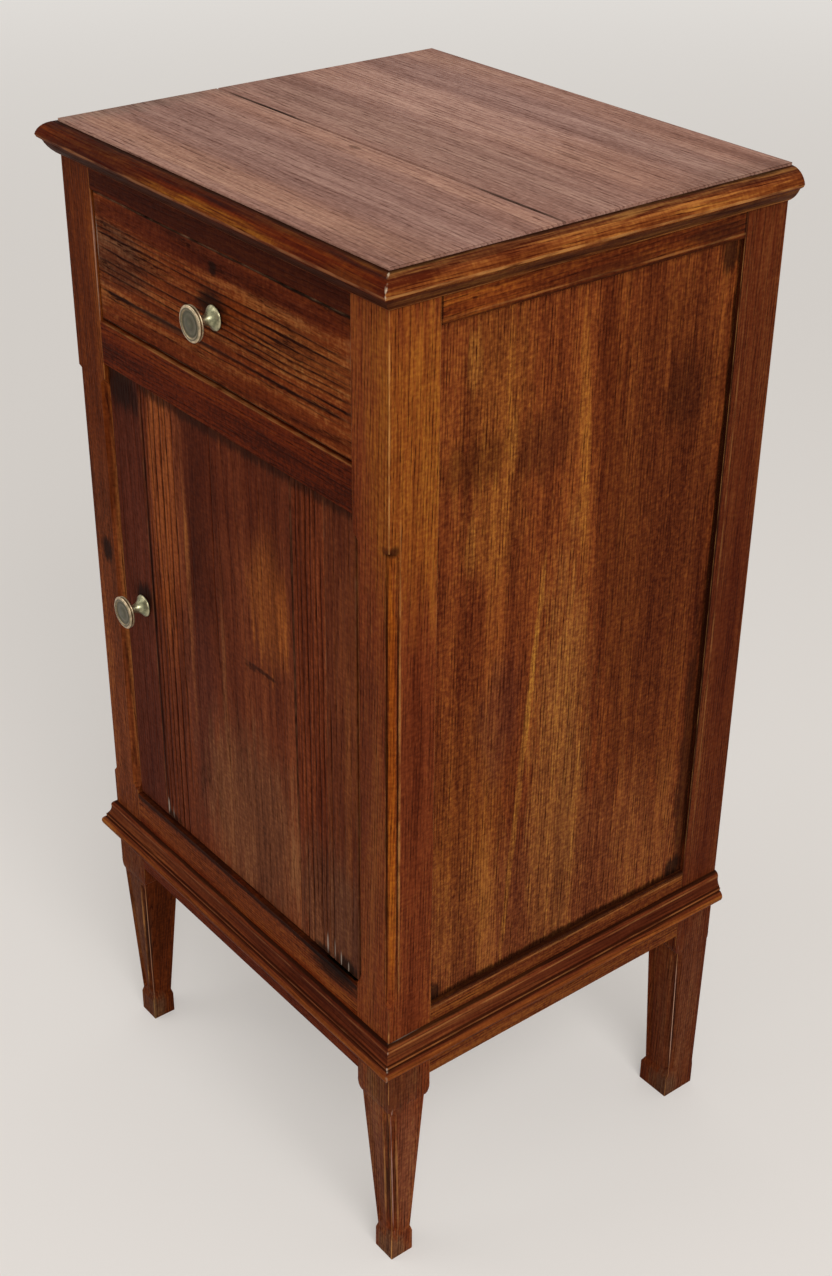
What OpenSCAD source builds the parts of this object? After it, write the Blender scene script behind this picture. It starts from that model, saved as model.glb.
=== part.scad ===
// Bedside cabinet in stained oak: a framed case on four tapered legs, one drawer over one door.
// Millimetres. X runs across the front, Y from front to back, Z up from the floor.

/* [Case] */
// Width over the posts
body_w = 382; // [340:2:440]
// Depth over the posts
body_d = 337; // [300:1:400]
// Height from the floor to the top boards
body_h = 820; // [770:1:900]
// Thickness of the top boards
top_t = 20; // [18:1:24]
// Depth of the front top board
top_front_d = 133.3; // [100:0.1:160]
// Open joint between the two top boards
top_joint = 0.6; // [0.4:0.1:0.9]
// Width of a post across the front
post_w = 38; // [34:1:44]
// Depth of a post along the side
post_d = 39; // [35:1:45]

/* [Rails and panels] */
// Height of the rails' underside above the floor
leg_h = 183; // [160:1:200]
// Height of the front top rail
top_rail_h = 21; // [18:1:26]
// Height of the drawer opening
drawer_opening_h = 98; // [90:1:110]
// Height of the rail under the drawer
drawer_rail_h = 33; // [30:1:40]
// Height of the front bottom rail
bottom_rail_h = 79; // [70:1:90]
// Thickness of the front rails
front_rail_t = 22; // [20:1:26]
// Height of the side top rails
side_top_rail_h = 24; // [22:1:30]
// Height of the side bottom rails
side_bottom_rail_h = 66.5; // [60:0.5:70]
// Thickness of the side rails
side_rail_t = 20; // [18:1:24]
// Height of the back top rail
back_top_rail_h = 50; // [40:1:60]
// Thickness of the back rails
back_rail_t = 18; // [16:1:22]
// Thickness of the side panels
panel_t = 7; // [6:0.5:8]
// Depth of a side panel's face behind the rails
panel_recess = 3.5; // [2:0.5:4]
// Thickness of the back boards
back_board_t = 8; // [6:1:9]
// Depth of the grooves that hold panels
groove_d = 6; // [4:0.5:7]
// Thickness of a tenon
tenon_t = 8; // [7:0.5:9]
// Length of a tenon
tenon_l = 16; // [12:1:16]
// Shoulder above and below a tenon
tenon_shoulder = 4; // [3:0.5:5]
// Clearance round a tenon or a panel in its groove
joint_fit = 0.1; // [0.05:0.05:0.2]

/* [Legs] */
// Height of the square block below the rails
block_h = 10; // [6:1:16]
// Height of the rounded shoulder below the block
shoulder_h = 11; // [8:1:14]
// Height of the neck above the foot
neck_z = 25; // [22:1:30]
// Height of the foot block
foot_h = 20; // [16:1:21]
// Step of a front leg's shoulder on the faces that show
shoulder_out = 1.5; // [1:0.1:2]
// Step of a front leg's shoulder on the faces towards the case
shoulder_in = 4; // [3:0.1:5]
// Taper of a front leg on its front face
taper_front = 7.6; // [5:0.1:9]
// Taper of a front leg on its outer face
taper_outer = 5.3; // [4:0.1:8]
// Taper of a front leg on its rear face
taper_rear = 13.4; // [10:0.1:15]
// Taper of a front leg on its inner face
taper_inner = 14.6; // [10:0.1:15]
// Flare of a front foot at each face
foot_flare = 1.3; // [0.5:0.1:2]
// Taper of a rear leg on its outer and back faces
rear_taper_out = 1.2; // [0.8:0.1:3]
// Taper of a rear leg on the faces towards the case
rear_taper_in = 8.6; // [6:0.1:11]
// Flare of a rear foot towards the case
rear_flare = 2.6; // [1:0.1:3]
// Width of a flute on the front face of a leg
flute_w = 7; // [5:0.5:7]
// Width of a flute on the side face of a leg
flute_side_w = 5.6; // [4:0.2:6]
// Depth of the flutes
flute_d = 1.8; // [1:0.1:2]
// Land left between a flute and the corner
flute_land = 0.4; // [0.2:0.1:1]
// Distance from the neck to the foot of a flute
flute_foot = 3; // [2:1:10]
// Distance from the shoulder down to the head of a flute
flute_head = 3; // [2:1:10]

/* [Post ornament] */
// Width of the quirked bead on the front face
bead_front = 4; // [3:0.5:6]
// Width of the quirked bead on the side face
bead_side = 9; // [7:0.5:10]
// Radius of the bead
bead_r = 4.7; // [4:0.1:5.2]
// Depth of the bead's centre behind the side face
bead_in = 5.2; // [5:0.1:6]
// Depth of the bead's centre behind the front face
bead_back = 6.3; // [6:0.1:7]
// Length of the bead's pointed foot
bead_foot = 14; // [8:1:20]
// Length of the bead's round head
bead_head = 7; // [4:1:12]
// Height of the bead and the hollow above the bottom rail
ornament_foot = 3; // [1:1:10]
// Distance from the drawer rail down to the bead and the hollow
ornament_head = 13; // [8:1:20]
// Radius of the hollow on the inner corner of a front post
hollow_r = 9; // [8.5:0.5:12]
// Width of that hollow on the front face
hollow_w = 6.5; // [4:0.5:7]

/* [Mouldings] */
// Reach of the top moulding beyond the posts
crown_reach = 12.7; // [10:0.1:16]
// Height of the top boards above the top moulding
crown_lip = 2; // [1:0.5:3]
// Height of the top moulding's upper round
crown_round_h = 10; // [8:0.5:12]
// Swell of that round
crown_swell = 2.7; // [1.5:0.1:2.7]
// Reach of the top moulding's lower ovolo
ovolo_reach = 9; // [7:0.5:10]
// Height of the top moulding's lower ovolo
ovolo_h = 10.2; // [8:0.2:11]
// Height of the nose between the two
nose_h = 4; // [3:0.5:5]
// Height of the low moulding's underside above the floor
plinth_z = 206; // [188:1:215]
// Height of the low moulding
plinth_h = 27; // [26:1:30]
// Reach of the low moulding's torus
torus_reach = 8; // [7:0.5:10]
// Height of the low moulding's torus
torus_h = 9; // [8:0.5:10]
// Swell of the torus
torus_swell = 2.3; // [1:0.1:2.6]
// Height of the fillet above the torus
fillet_h = 2; // [1.5:0.1:2.5]
// Depth and height of the quirks below and above the fillet
quirk = 0.9; // [0.7:0.1:1]
// Reach of the roll at the head of the low moulding
roll_reach = 4; // [3:0.5:5]
// Height of that roll
roll_h = 4.5; // [3:0.5:5]

/* [Cupboard] */
// Thickness of the cupboard floor
floor_t = 12; // [10:1:14]
// Width of the bearers under the floor
bearer_w = 20; // [16:1:24]
// Thickness of the runners under the drawer
runner_t = 18; // [16:1:22]
// Width of a runner inside the posts
runner_w = 20; // [16:1:24]
// Thickness of the dust board between the runners
dust_t = 5; // [4:0.5:6]
// Height of the dust board above the runners' underside
dust_lift = 2.5; // [2:0.5:3]
// Height of the drawer guides
guide_h = 24; // [16:1:40]
// Thickness of the drawer guides
guide_t = 10; // [8:1:12]
// Height of the drawer stops
stop_h = 5; // [4:0.5:5]
// Width and depth of a drawer stop
stop_w = 30; // [20:1:40]
// Section of the strip that the door closes against
strip_t = 12; // [8:1:16]

/* [Drawer] */
// Gap at the sides and the top of the drawer front
drawer_gap = 1.4; // [1:0.1:2]
// Gap below the drawer front
drawer_gap_below = 2; // [1:0.1:2.5]
// Depth of the drawer front's face behind the posts
drawer_recess = 1.5; // [1:0.5:3]
// Thickness of the drawer front
drawer_front_t = 18; // [16:1:20]
// Thickness of the drawer sides
drawer_side_t = 10; // [8:1:12]
// Thickness of the drawer back
drawer_back_t = 8; // [7:1:10]
// Thickness of the drawer bottom
drawer_bottom_t = 5; // [4:0.5:6]
// Height of the drawer bottom above the drawer opening's sill
drawer_bottom_lift = 9; // [8:0.5:12]
// Clearance between the drawer and its runners
running_gap = 0.3; // [0.2:0.1:0.5]
// Space left behind the drawer
drawer_rear_space = 38; // [25:1:60]
// Number of dovetails at each corner
tails = 4; // [3:1:5]
// Slope of the dovetails in degrees
tail_slope = 9; // [7:1:12]
// Front wood left in front of the dovetails
lap_t = 5; // [4:1:6]

/* [Door] */
// Gap at the two upright edges of the door
door_gap = 1.5; // [1.3:0.1:2]
// Gap above and below the door
door_gap_ends = 2; // [1.5:0.1:2.5]
// Depth of the door's face behind the posts
door_recess = 3; // [2:0.5:4]
// Thickness of the door boards
door_t = 18; // [16:1:20]
// Width of the left door board
left_board_w = 41; // [38:1:60]
// Width of the right door board
right_board_w = 34; // [30:1:45]
// Width of the narrow board beside it
joint_board_w = 37.5; // [30:0.5:45]
// Thickness of the tongues between boards
tongue_t = 6; // [4:1:7]
// Length of the tongues between boards
tongue_l = 6; // [4:1:8]
// Bevel on the front edges of the boards
board_bevel = 0.7; // [0.3:0.1:1]
// Height of a door batten
batten_h = 40; // [30:1:60]
// Thickness of a door batten
batten_t = 14; // [10:1:16]
// Distance of a batten from the end of the door
batten_inset = 20; // [24:1:60]
// Distance of the pivot from the hinge edge of the door
pivot_in = 9; // [8:0.5:11]
// Distance of the pivot behind the door's face
pivot_back = 4.8; // [4.5:0.1:5]
// Radius of the pivot pins
pin_r = 2; // [1.5:0.1:2.2]
// Running clearance round the pivot pins
pin_fit = 0.05; // [0.03:0.01:0.08]
// Length of a pivot pin in the door
pin_in_door = 20; // [14:1:30]
// Thickness of the pivot plates
plate_t = 1.5; // [1:0.5:2]
// Length of the pivot plates
plate_l = 36; // [30:1:44]
// Width of the pivot plates
plate_w = 11; // [9:1:12]

/* [Knobs] */
// Radius of a knob's disc
knob_r = 13; // [11:0.5:15]
// Projection of a knob
knob_l = 20; // [17:0.5:24]
// Radius of a knob's foot
knob_foot_r = 9; // [7:0.5:10]
// Radius of a knob's neck
knob_neck_r = 3.4; // [3:0.1:4.5]
// Thickness of a knob's disc
knob_disc_t = 4.6; // [4:0.1:6]
// Distance of the door knob from the door's left edge
door_knob_in = 27; // [24:1:34]
// Height of the door knob above the door's lower edge
door_knob_up = 191; // [120:1:300]
// Radius of the screws that hold the knobs
knob_screw_r = 2; // [1.5:0.1:2.2]

/* [Hidden] */
$fn = 48;

oak = [0.42, 0.22, 0.13];
oak_amber = [0.55, 0.31, 0.16];
oak_faded = [0.5, 0.33, 0.27];
oak_plain = [0.62, 0.47, 0.32];
brass = [0.72, 0.64, 0.45];

// A small overshoot, so that a cut passes clean through a face
over = 1;

// The front plane of the posts is drawn at Y = 0, then moved so that the knob and the back
// stand at equal distances from the origin
half_w = body_w / 2;
post_in = half_w - post_w;
rear_in = body_d - post_d;
front_reach = max(crown_reach, knob_l - drawer_recess);
front_y = -(body_d - front_reach) / 2;

// Heights
under_top = body_h - top_t;
top_rail_z = under_top - top_rail_h;
drawer_sill_z = top_rail_z - drawer_opening_h;
drawer_rail_z = drawer_sill_z - drawer_rail_h;
floor_z = leg_h + bottom_rail_h;
side_top_z = under_top - side_top_rail_h;
side_low_z = leg_h + side_bottom_rail_h;
back_top_z = under_top - back_top_rail_h;
block_z = leg_h - block_h;
shoulder_z = block_z - shoulder_h;

// The edge of a rail that is grooved needs a deeper shoulder than the others
grooved_shoulder = groove_d + 2;
// A panel or a tenon stops this far short of the bottom of its groove or mortise
groove_room = 0.5;
side_tenon_x = half_w - side_rail_t / 2;
front_tenon_y = front_rail_t / 2;
back_inner_y = body_d - back_rail_t;
back_mid_y = body_d - back_rail_t / 2;
panel_x = half_w - panel_recess - panel_t;

runner_z = drawer_sill_z - runner_t;
runner_in = post_in - runner_w;
runner_back = back_inner_y - joint_fit;
dust_z = runner_z + dust_lift;
dust_groove = groove_d - 1;
floor_low_z = floor_z - floor_t;
bearer_h = bearer_w;

drawer_half = post_in - drawer_gap;
drawer_front_z = drawer_sill_z + drawer_gap_below;
drawer_front_top = top_rail_z - drawer_gap;
drawer_back_y = drawer_recess + drawer_front_t;
drawer_end_y = body_d - drawer_rear_space;
drawer_side_z = drawer_sill_z + running_gap;
drawer_side_h = drawer_front_top - 2 - drawer_side_z;
drawer_bottom_z = drawer_sill_z + drawer_bottom_lift;
drawer_groove = drawer_side_t * 0.4;
drawer_inner = drawer_half - drawer_side_t;
drawer_knob_z = (drawer_front_z + drawer_front_top) / 2;

door_left = -post_in + door_gap;
door_right = post_in - door_gap;
door_z = floor_z + door_gap_ends;
door_top = drawer_rail_z - door_gap_ends;
door_back_y = door_recess + door_t;
pivot_x = door_right - pivot_in;
pivot_y = door_recess + pivot_back;
pin_out = door_gap_ends + plate_t + 4;
left_joint_x = door_left + left_board_w;
right_joint_x = door_right - right_board_w;
narrow_joint_x = right_joint_x - joint_board_w;
door_knob_x = door_left + door_knob_in;
door_knob_z = door_z + door_knob_up;
catch_x = door_left + left_board_w / 2;
catch_y = (door_recess + door_back_y) / 2;
catch_r = 3.5;
catch_l = 14;
ball_r = 2.6;
batten_left = -post_in + strip_t + 5;
batten_right = door_right - 5;
top_batten_z = door_top - batten_inset - batten_h;
low_batten_z = door_z + batten_inset;

ornament_z0 = floor_z + ornament_foot;
ornament_z1 = drawer_rail_z - ornament_head;
crown_z = body_h - crown_lip;
crown_nose_z = crown_z - crown_round_h;
crown_foot_z = crown_nose_z - nose_h - ovolo_h;
plinth_top = plinth_z + plinth_h;

// Wood screws: [shank radius, head radius, head height]
screw_r = 2;
screw_head_r = 4;
screw_head_h = 3;
small_screw_r = 1.4;
small_head_r = 2.6;
small_head_h = 1.6;
screw_fit = 0.05;

// Points on the arc from p to q that rises to the left of the line by the given amount
function bow(p, q, rise, steps = 6) =
    let (
        chord = q - p,
        len = norm(chord),
        dir = chord / len,
        side = sign(rise) * [-dir.y, dir.x],
        sag = abs(rise),
        rad = len * len / (8 * sag) + sag / 2,
        half = asin(len / (2 * rad)),
        mid = (p + q) / 2
    )
    [for (i = [0:steps])
        let (a = -half + 2 * half * i / steps)
        mid + dir * rad * sin(a) + side * (rad * cos(a) - rad + sag)];

function reversed(list) = [for (i = [len(list) - 1:-1:0]) list[i]];

module placed() translate([0, front_y, 0]) children();

module on_side(side) {
    if (side > 0) children();
    else mirror([1, 0, 0]) children();
}

module slab(x0, x1, y0, y1, z0, z1)
    translate([x0, y0, z0]) cube([x1 - x0, y1 - y0, z1 - z0]);

// An outline in X and Z, standing from y0 to y1
module stand_y(y0, y1)
    translate([0, y1, 0]) rotate([90, 0, 0]) linear_extrude(y1 - y0) children();

// An outline in Y and Z, standing from x0 to x1
module stand_x(x0, x1)
    translate([x0, 0, 0]) rotate([90, 0, 90]) linear_extrude(x1 - x0) children();

// A round-ended rod between two points
module rod(from, to, r) {
    run = to - from;
    translate(from)
        rotate([0, acos(run.z / norm(run)), atan2(run.y, run.x)]) {
            cylinder(h = norm(run), r = r);
            sphere(r = r);
            translate([0, 0, norm(run)]) sphere(r = r);
        }
}

// A countersunk screw that points along +Z, its head at the origin
module wood_screw(length, shank, head, head_h, grow = 0) {
    tip = shank * 2;
    difference() {
        union() {
            cylinder(h = head_h + grow, r1 = head + grow, r2 = shank + grow);
            cylinder(h = length - tip + grow, r = shank + grow);
            translate([0, 0, length - tip])
                cylinder(h = tip + grow, r1 = shank + grow, r2 = 0.3 + grow);
        }
        if (grow == 0)
            translate([-head, -0.4, -over]) cube([head * 2, 0.8, over + head_h * 0.3]);
    }
    if (grow > 0)
        translate([0, 0, -over]) cylinder(h = over, r = head + grow);
}

// Posts and legs

// One face of a leg as [inset, height] pairs, from the top of the post down to the floor
function leg_face(step, taper, flare) = concat(
    [[0, under_top]],
    [for (a = [0:18:90]) [step * (1 - cos(a)), block_z - shoulder_h * sin(a)]],
    [[taper, neck_z], [taper - flare, foot_h], [taper - flare, 0]]);

// A post on the right-hand side: two outlines that cross
module post_body(outer, inner, front, back, y0) {
    intersection() {
        stand_y(y0, y0 + post_d)
            polygon(concat(
                [for (p = outer) [half_w - p[0], p[1]]],
                reversed([for (p = inner) [post_in + p[0], p[1]]])));
        stand_x(post_in, half_w)
            polygon(concat(
                [for (p = front) [y0 + p[0], p[1]]],
                reversed([for (p = back) [y0 + post_d - p[0], p[1]]])));
    }
}

// Two stopped flutes beside one front corner of a leg; way is the direction from the corner
// into the leg along X
module corner_flutes(x_face, way, step_x, taper_x, step_y, taper_y, y0) {
    front_r = (flute_w * flute_w / 4 + flute_d * flute_d) / (2 * flute_d);
    side_r = (flute_side_w * flute_side_w / 4 + flute_d * flute_d) / (2 * flute_d);
    slope_x = (taper_x - step_x) / (shoulder_z - neck_z);
    slope_y = (taper_y - step_y) / (shoulder_z - neck_z);
    function corner(z) = [
        x_face + way * (step_x + slope_x * (shoulder_z - z)),
        y0 + step_y + slope_y * (shoulder_z - z), z];
    front_shift = [way * (flute_land + flute_w / 2), flute_d - front_r, 0];
    side_shift = [way * (flute_d - side_r), flute_land + flute_side_w / 2, 0];
    foot = neck_z + flute_foot;
    head = shoulder_z - flute_head;
    rod(corner(foot + flute_w / 2) + front_shift, corner(head - flute_w / 2) + front_shift, front_r);
    rod(corner(foot + flute_side_w / 2) + side_shift, corner(head - flute_side_w / 2) + side_shift, side_r);
}

// The sunk bead on the outer corner of a front post, run out to a point below and a round above
module corner_bead() {
    deepest = (bead_front + bead_side) / 2;
    intersection() {
        translate([0, 0, ornament_z0])
            linear_extrude(ornament_z1 - ornament_z0)
                difference() {
                    translate([half_w - bead_front, -over])
                        square([bead_front + over, bead_side + over]);
                    translate([half_w - bead_in, bead_back]) circle(r = bead_r);
                }
        translate([half_w, 0, 0]) rotate([90, 0, 135])
            linear_extrude(4 * bead_side, center = true)
                polygon(concat(
                    [[-2 * over, ornament_z0]],
                    bow([0, ornament_z0], [deepest, ornament_z0 + bead_foot], -1),
                    bow([deepest, ornament_z1 - bead_head], [0, ornament_z1], -1.2),
                    [[-2 * over, ornament_z1]]));
    }
}

// The hollow on the inner corner of a front post, beside the door
module corner_hollow() {
    out_x = 1;
    out_y = sqrt(hollow_r * hollow_r - (hollow_w + out_x) * (hollow_w + out_x));
    run_out = sqrt(hollow_r * hollow_r - out_x * out_x - out_y * out_y);
    rod([post_in - out_x, -out_y, ornament_z0 + run_out],
        [post_in - out_x, -out_y, ornament_z1 - run_out], hollow_r);
}

module front_post(side) {
    on_side(side)
        difference() {
            post_body(
                leg_face(shoulder_out, taper_outer, foot_flare),
                leg_face(shoulder_in, taper_inner, foot_flare),
                leg_face(shoulder_out, taper_front, foot_flare),
                leg_face(shoulder_in, taper_rear, foot_flare), 0);
            corner_flutes(half_w, -1, shoulder_out, taper_outer, shoulder_out, taper_front, 0);
            corner_flutes(post_in, 1, shoulder_in, taper_inner, shoulder_out, taper_front, 0);
            corner_bead();
            corner_hollow();
            front_rail_tenons(joint_fit);
            side_rail_tenons(joint_fit);
            side_panel_block(groove_d, joint_fit);
            runner_screws(screw_fit);
        }
}

module rear_post(side) {
    in_face = leg_face(shoulder_in, rear_taper_in, rear_flare);
    out_face = leg_face(rear_taper_out / 4, rear_taper_out, rear_taper_out / 4);
    on_side(side)
        difference() {
            post_body(out_face, in_face, in_face, out_face, rear_in);
            corner_flutes(half_w, -1, rear_taper_out / 4, rear_taper_out,
                shoulder_in, rear_taper_in, rear_in);
            corner_flutes(post_in, 1, shoulder_in, rear_taper_in,
                shoulder_in, rear_taper_in, rear_in);
            side_rail_tenons(joint_fit);
            side_panel_block(groove_d, joint_fit);
            back_rail_tenons(joint_fit);
            back_panel_block(groove_d, joint_fit);
            runner_screws(screw_fit);
        }
}

module front_left_post() color(oak) placed() front_post(-1);
module front_right_post() color(oak) placed() front_post(1);
module rear_left_post() color(oak) placed() rear_post(-1);
module rear_right_post() color(oak) placed() rear_post(1);

// Rails

// Length of a tenon, or of its mortise where the shape is grown by a clearance
function tenon_reach(grow) = grow > 0 ? tenon_l + groove_room : tenon_l;

// A tenon at each end of a rail that runs across the case
module tenons_across(z0, z1, y_mid, grow)
    slab(-post_in - tenon_reach(grow), post_in + tenon_reach(grow),
        y_mid - tenon_t / 2 - grow, y_mid + tenon_t / 2 + grow, z0 - grow, z1 + grow);

// A tenon at each end of a rail that runs from front to back, on the right-hand side
module tenons_along(z0, z1, grow)
    slab(side_tenon_x - tenon_t / 2 - grow, side_tenon_x + tenon_t / 2 + grow,
        post_d - tenon_reach(grow), rear_in + tenon_reach(grow), z0 - grow, z1 + grow);

module front_top_tenons(grow)
    tenons_across(top_rail_z + tenon_shoulder, under_top - tenon_shoulder, front_tenon_y, grow);

module drawer_rail_tenons(grow)
    tenons_across(drawer_rail_z + tenon_shoulder, drawer_sill_z - tenon_shoulder, front_tenon_y, grow);

module front_bottom_tenons(grow)
    tenons_across(leg_h + tenon_shoulder, floor_z - tenon_shoulder, front_tenon_y, grow);

module front_rail_tenons(grow) {
    front_top_tenons(grow);
    drawer_rail_tenons(grow);
    front_bottom_tenons(grow);
}

module side_top_tenons(grow)
    tenons_along(side_top_z + grooved_shoulder, under_top - tenon_shoulder, grow);

module side_bottom_tenons(grow)
    tenons_along(leg_h + tenon_shoulder, side_low_z - grooved_shoulder, grow);

module side_rail_tenons(grow) {
    side_top_tenons(grow);
    side_bottom_tenons(grow);
}

module back_top_tenons(grow)
    tenons_across(back_top_z + grooved_shoulder, under_top - tenon_shoulder, back_mid_y, grow);

module back_bottom_tenons(grow)
    tenons_across(leg_h + tenon_shoulder, side_low_z - grooved_shoulder, back_mid_y, grow);

module back_rail_tenons(grow) {
    back_top_tenons(grow);
    back_bottom_tenons(grow);
}

module front_top_rail() color(oak) placed() {
    slab(-post_in, post_in, 0, front_rail_t, top_rail_z, under_top);
    front_top_tenons(0);
}

module drawer_rail() color(oak) placed()
    difference() {
        union() {
            slab(-post_in, post_in, 0, front_rail_t, drawer_rail_z, drawer_sill_z);
            drawer_rail_tenons(0);
        }
        dust_block(dust_groove, joint_fit);
        pivot_bed(drawer_rail_z, 1);
        strike_bed();
    }

module front_bottom_rail() color(oak) placed()
    difference() {
        union() {
            slab(-post_in, post_in, 0, front_rail_t, leg_h, floor_z);
            front_bottom_tenons(0);
        }
        pivot_bed(floor_z, -1);
    }

module side_top_rail(side) color(oak) placed()
    on_side(side)
        difference() {
            union() {
                slab(half_w - side_rail_t, half_w, post_d, rear_in, side_top_z, under_top);
                side_top_tenons(0);
            }
            side_panel_block(groove_d, joint_fit);
        }

module side_bottom_rail(side) color(oak) placed()
    on_side(side)
        difference() {
            union() {
                slab(half_w - side_rail_t, half_w, post_d, rear_in, leg_h, side_low_z);
                side_bottom_tenons(0);
            }
            side_panel_block(groove_d, joint_fit);
            bearer_screws(screw_fit);
        }

module left_top_rail() side_top_rail(-1);
module right_top_rail() side_top_rail(1);
module left_bottom_rail() side_bottom_rail(-1);
module right_bottom_rail() side_bottom_rail(1);

module back_top_rail() color(oak_plain) placed()
    difference() {
        union() {
            slab(-post_in, post_in, back_inner_y, body_d, back_top_z, under_top);
            back_top_tenons(0);
        }
        back_panel_block(groove_d, joint_fit);
    }

module back_bottom_rail() color(oak_plain) placed()
    difference() {
        union() {
            slab(-post_in, post_in, back_inner_y, body_d, leg_h, side_low_z);
            back_bottom_tenons(0);
        }
        back_panel_block(groove_d, joint_fit);
    }

// Panels

// The right-hand panel with the given reach into its frame
module side_panel_block(reach, grow)
    slab(panel_x - grow, panel_x + panel_t + grow,
        post_d - reach, rear_in + reach, side_low_z - reach, side_top_z + reach);

module side_panel(side) color(oak_amber) placed()
    on_side(side) side_panel_block(groove_d - groove_room, 0);

module left_side_panel() side_panel(-1);
module right_side_panel() side_panel(1);

module back_panel_block(reach, grow)
    slab(-post_in - reach, post_in + reach,
        back_mid_y - back_board_t / 2 - grow, back_mid_y + back_board_t / 2 + grow,
        side_low_z - reach, back_top_z + reach);

// One of three upright boards in the back, counted from the left, joined by tongues
module back_board(index) {
    count = 3;
    reach = groove_d - groove_room;
    width = 2 * (post_in + reach) / count;
    x0 = -post_in - reach + index * width;
    tongue = back_board_t / 3;
    color(oak_plain) placed()
        difference() {
            union() {
                slab(x0, x0 + width, back_mid_y - back_board_t / 2, back_mid_y + back_board_t / 2,
                    side_low_z - reach, back_top_z + reach);
                if (index < count - 1)
                    slab(x0, x0 + width + groove_d - groove_room,
                        back_mid_y - tongue / 2, back_mid_y + tongue / 2,
                        side_low_z - reach, back_top_z + reach);
            }
            if (index > 0)
                slab(x0 - over, x0 + groove_d,
                    back_mid_y - tongue / 2 - joint_fit, back_mid_y + tongue / 2 + joint_fit,
                    side_low_z - reach - over, back_top_z + reach + over);
        }
}

module back_board_left() back_board(0);
module back_board_middle() back_board(1);
module back_board_right() back_board(2);

// Top boards, with a fine bevel each side of their open joint

module top_board(y0, y1, bevel_front, bevel_back) color(oak_faded) placed()
    difference() {
        stand_x(-half_w, half_w)
            polygon([
                [y0, under_top], [y0, body_h - bevel_front], [y0 + bevel_front, body_h],
                [y1 - bevel_back, body_h], [y1, body_h - bevel_back], [y1, under_top]]);
        kicker_screws(screw_fit);
    }

module top_front_board() top_board(0, top_front_d, 0.5, board_bevel);
module top_rear_board() top_board(top_front_d + top_joint, body_d, board_bevel, 0.5);

// Mouldings, drawn as [reach, height] profiles

function crown_points() = concat(
    bow([0, crown_foot_z], [ovolo_reach, crown_nose_z - nose_h], -1.2, 5),
    [[crown_reach - 0.9, crown_nose_z - nose_h / 2]],
    bow([crown_reach, crown_nose_z], [0, crown_z], -crown_swell, 8));

function plinth_points() = let (
        torus_top = plinth_z + 1 + torus_h,
        fillet_z = torus_top + quirk,
        cove_z = fillet_z + fillet_h + quirk)
    concat(
        [[0, plinth_z], [torus_reach, plinth_z]],
        bow([torus_reach + 1, plinth_z + 1], [torus_reach, torus_top], -torus_swell, 7),
        [[torus_reach - 2 * quirk, torus_top + quirk / 2], [torus_reach - quirk / 2, fillet_z],
            [torus_reach - quirk / 2, fillet_z + fillet_h],
            [torus_reach - 2 * quirk, fillet_z + fillet_h + quirk / 2]],
        bow([torus_reach - 1.5 * quirk, cove_z], [roll_reach, plinth_top - roll_h], 1, 5),
        bow([roll_reach, plinth_top - roll_h + quirk / 2], [0, plinth_top], -1, 5));

// A moulding along the front, cut to its mitres
module moulding_front(points)
    intersection() {
        stand_x(-body_w, body_w) polygon([for (p = points) [-p[0], p[1]]]);
        linear_extrude(body_h + over)
            polygon([[-half_w, 0], [half_w, 0], [body_w, -half_w], [-body_w, -half_w]]);
    }

// A moulding along the right-hand side, mitred at the front and square at the back
module moulding_side(points)
    intersection() {
        stand_y(-half_w, body_d) polygon([for (p = points) [half_w + p[0], p[1]]]);
        linear_extrude(body_h + over)
            polygon([[half_w, 0], [body_w, -half_w], [body_w, body_d], [half_w, body_d]]);
    }

module top_moulding_front() color(oak_amber) placed() moulding_front(crown_points());
module top_moulding_left() color(oak_amber) placed() on_side(-1) moulding_side(crown_points());
module top_moulding_right() color(oak_amber) placed() on_side(1) moulding_side(crown_points());
module plinth_moulding_front() color(oak) placed() moulding_front(plinth_points());
module plinth_moulding_left() color(oak) placed() on_side(-1) moulding_side(plinth_points());
module plinth_moulding_right() color(oak) placed() on_side(1) moulding_side(plinth_points());

// Cupboard floor and what carries it

module bottom_board() {
    edge = half_w - side_rail_t - joint_fit;
    inner = post_in - joint_fit;
    color(oak_plain) placed()
        translate([0, 0, floor_low_z]) linear_extrude(floor_t)
            polygon([
                [-inner, front_rail_t], [inner, front_rail_t],
                [inner, post_d + joint_fit], [edge, post_d + joint_fit],
                [edge, rear_in - joint_fit], [inner, rear_in - joint_fit],
                [inner, back_inner_y - joint_fit], [-inner, back_inner_y - joint_fit],
                [-inner, rear_in - joint_fit], [-edge, rear_in - joint_fit],
                [-edge, post_d + joint_fit], [-inner, post_d + joint_fit]]);
}

module bottom_bearer(side) color(oak_plain) placed()
    on_side(side)
        difference() {
            slab(half_w - side_rail_t - bearer_w, half_w - side_rail_t, post_d, rear_in,
                floor_low_z - bearer_h, floor_low_z);
            bearer_screws(screw_fit);
        }

module left_bottom_bearer() bottom_bearer(-1);
module right_bottom_bearer() bottom_bearer(1);

// Drawer runners, kickers and guides

// Plan of a runner on the right-hand side: it passes between the posts and fills out to the rail
module runner_plan()
    polygon([
        [runner_in, front_rail_t], [post_in, front_rail_t], [post_in, post_d],
        [half_w - side_rail_t, post_d], [half_w - side_rail_t, rear_in],
        [post_in, rear_in], [post_in, runner_back], [runner_in, runner_back]]);

module drawer_runner(side) color(oak_plain) placed()
    on_side(side)
        difference() {
            translate([0, 0, runner_z]) linear_extrude(runner_t) runner_plan();
            dust_block(dust_groove, joint_fit);
            runner_screws(screw_fit);
        }

module drawer_kicker(side) color(oak_plain) placed()
    on_side(side)
        difference() {
            translate([0, 0, top_rail_z]) linear_extrude(top_rail_h) runner_plan();
            kicker_screws(screw_fit);
        }

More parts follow.
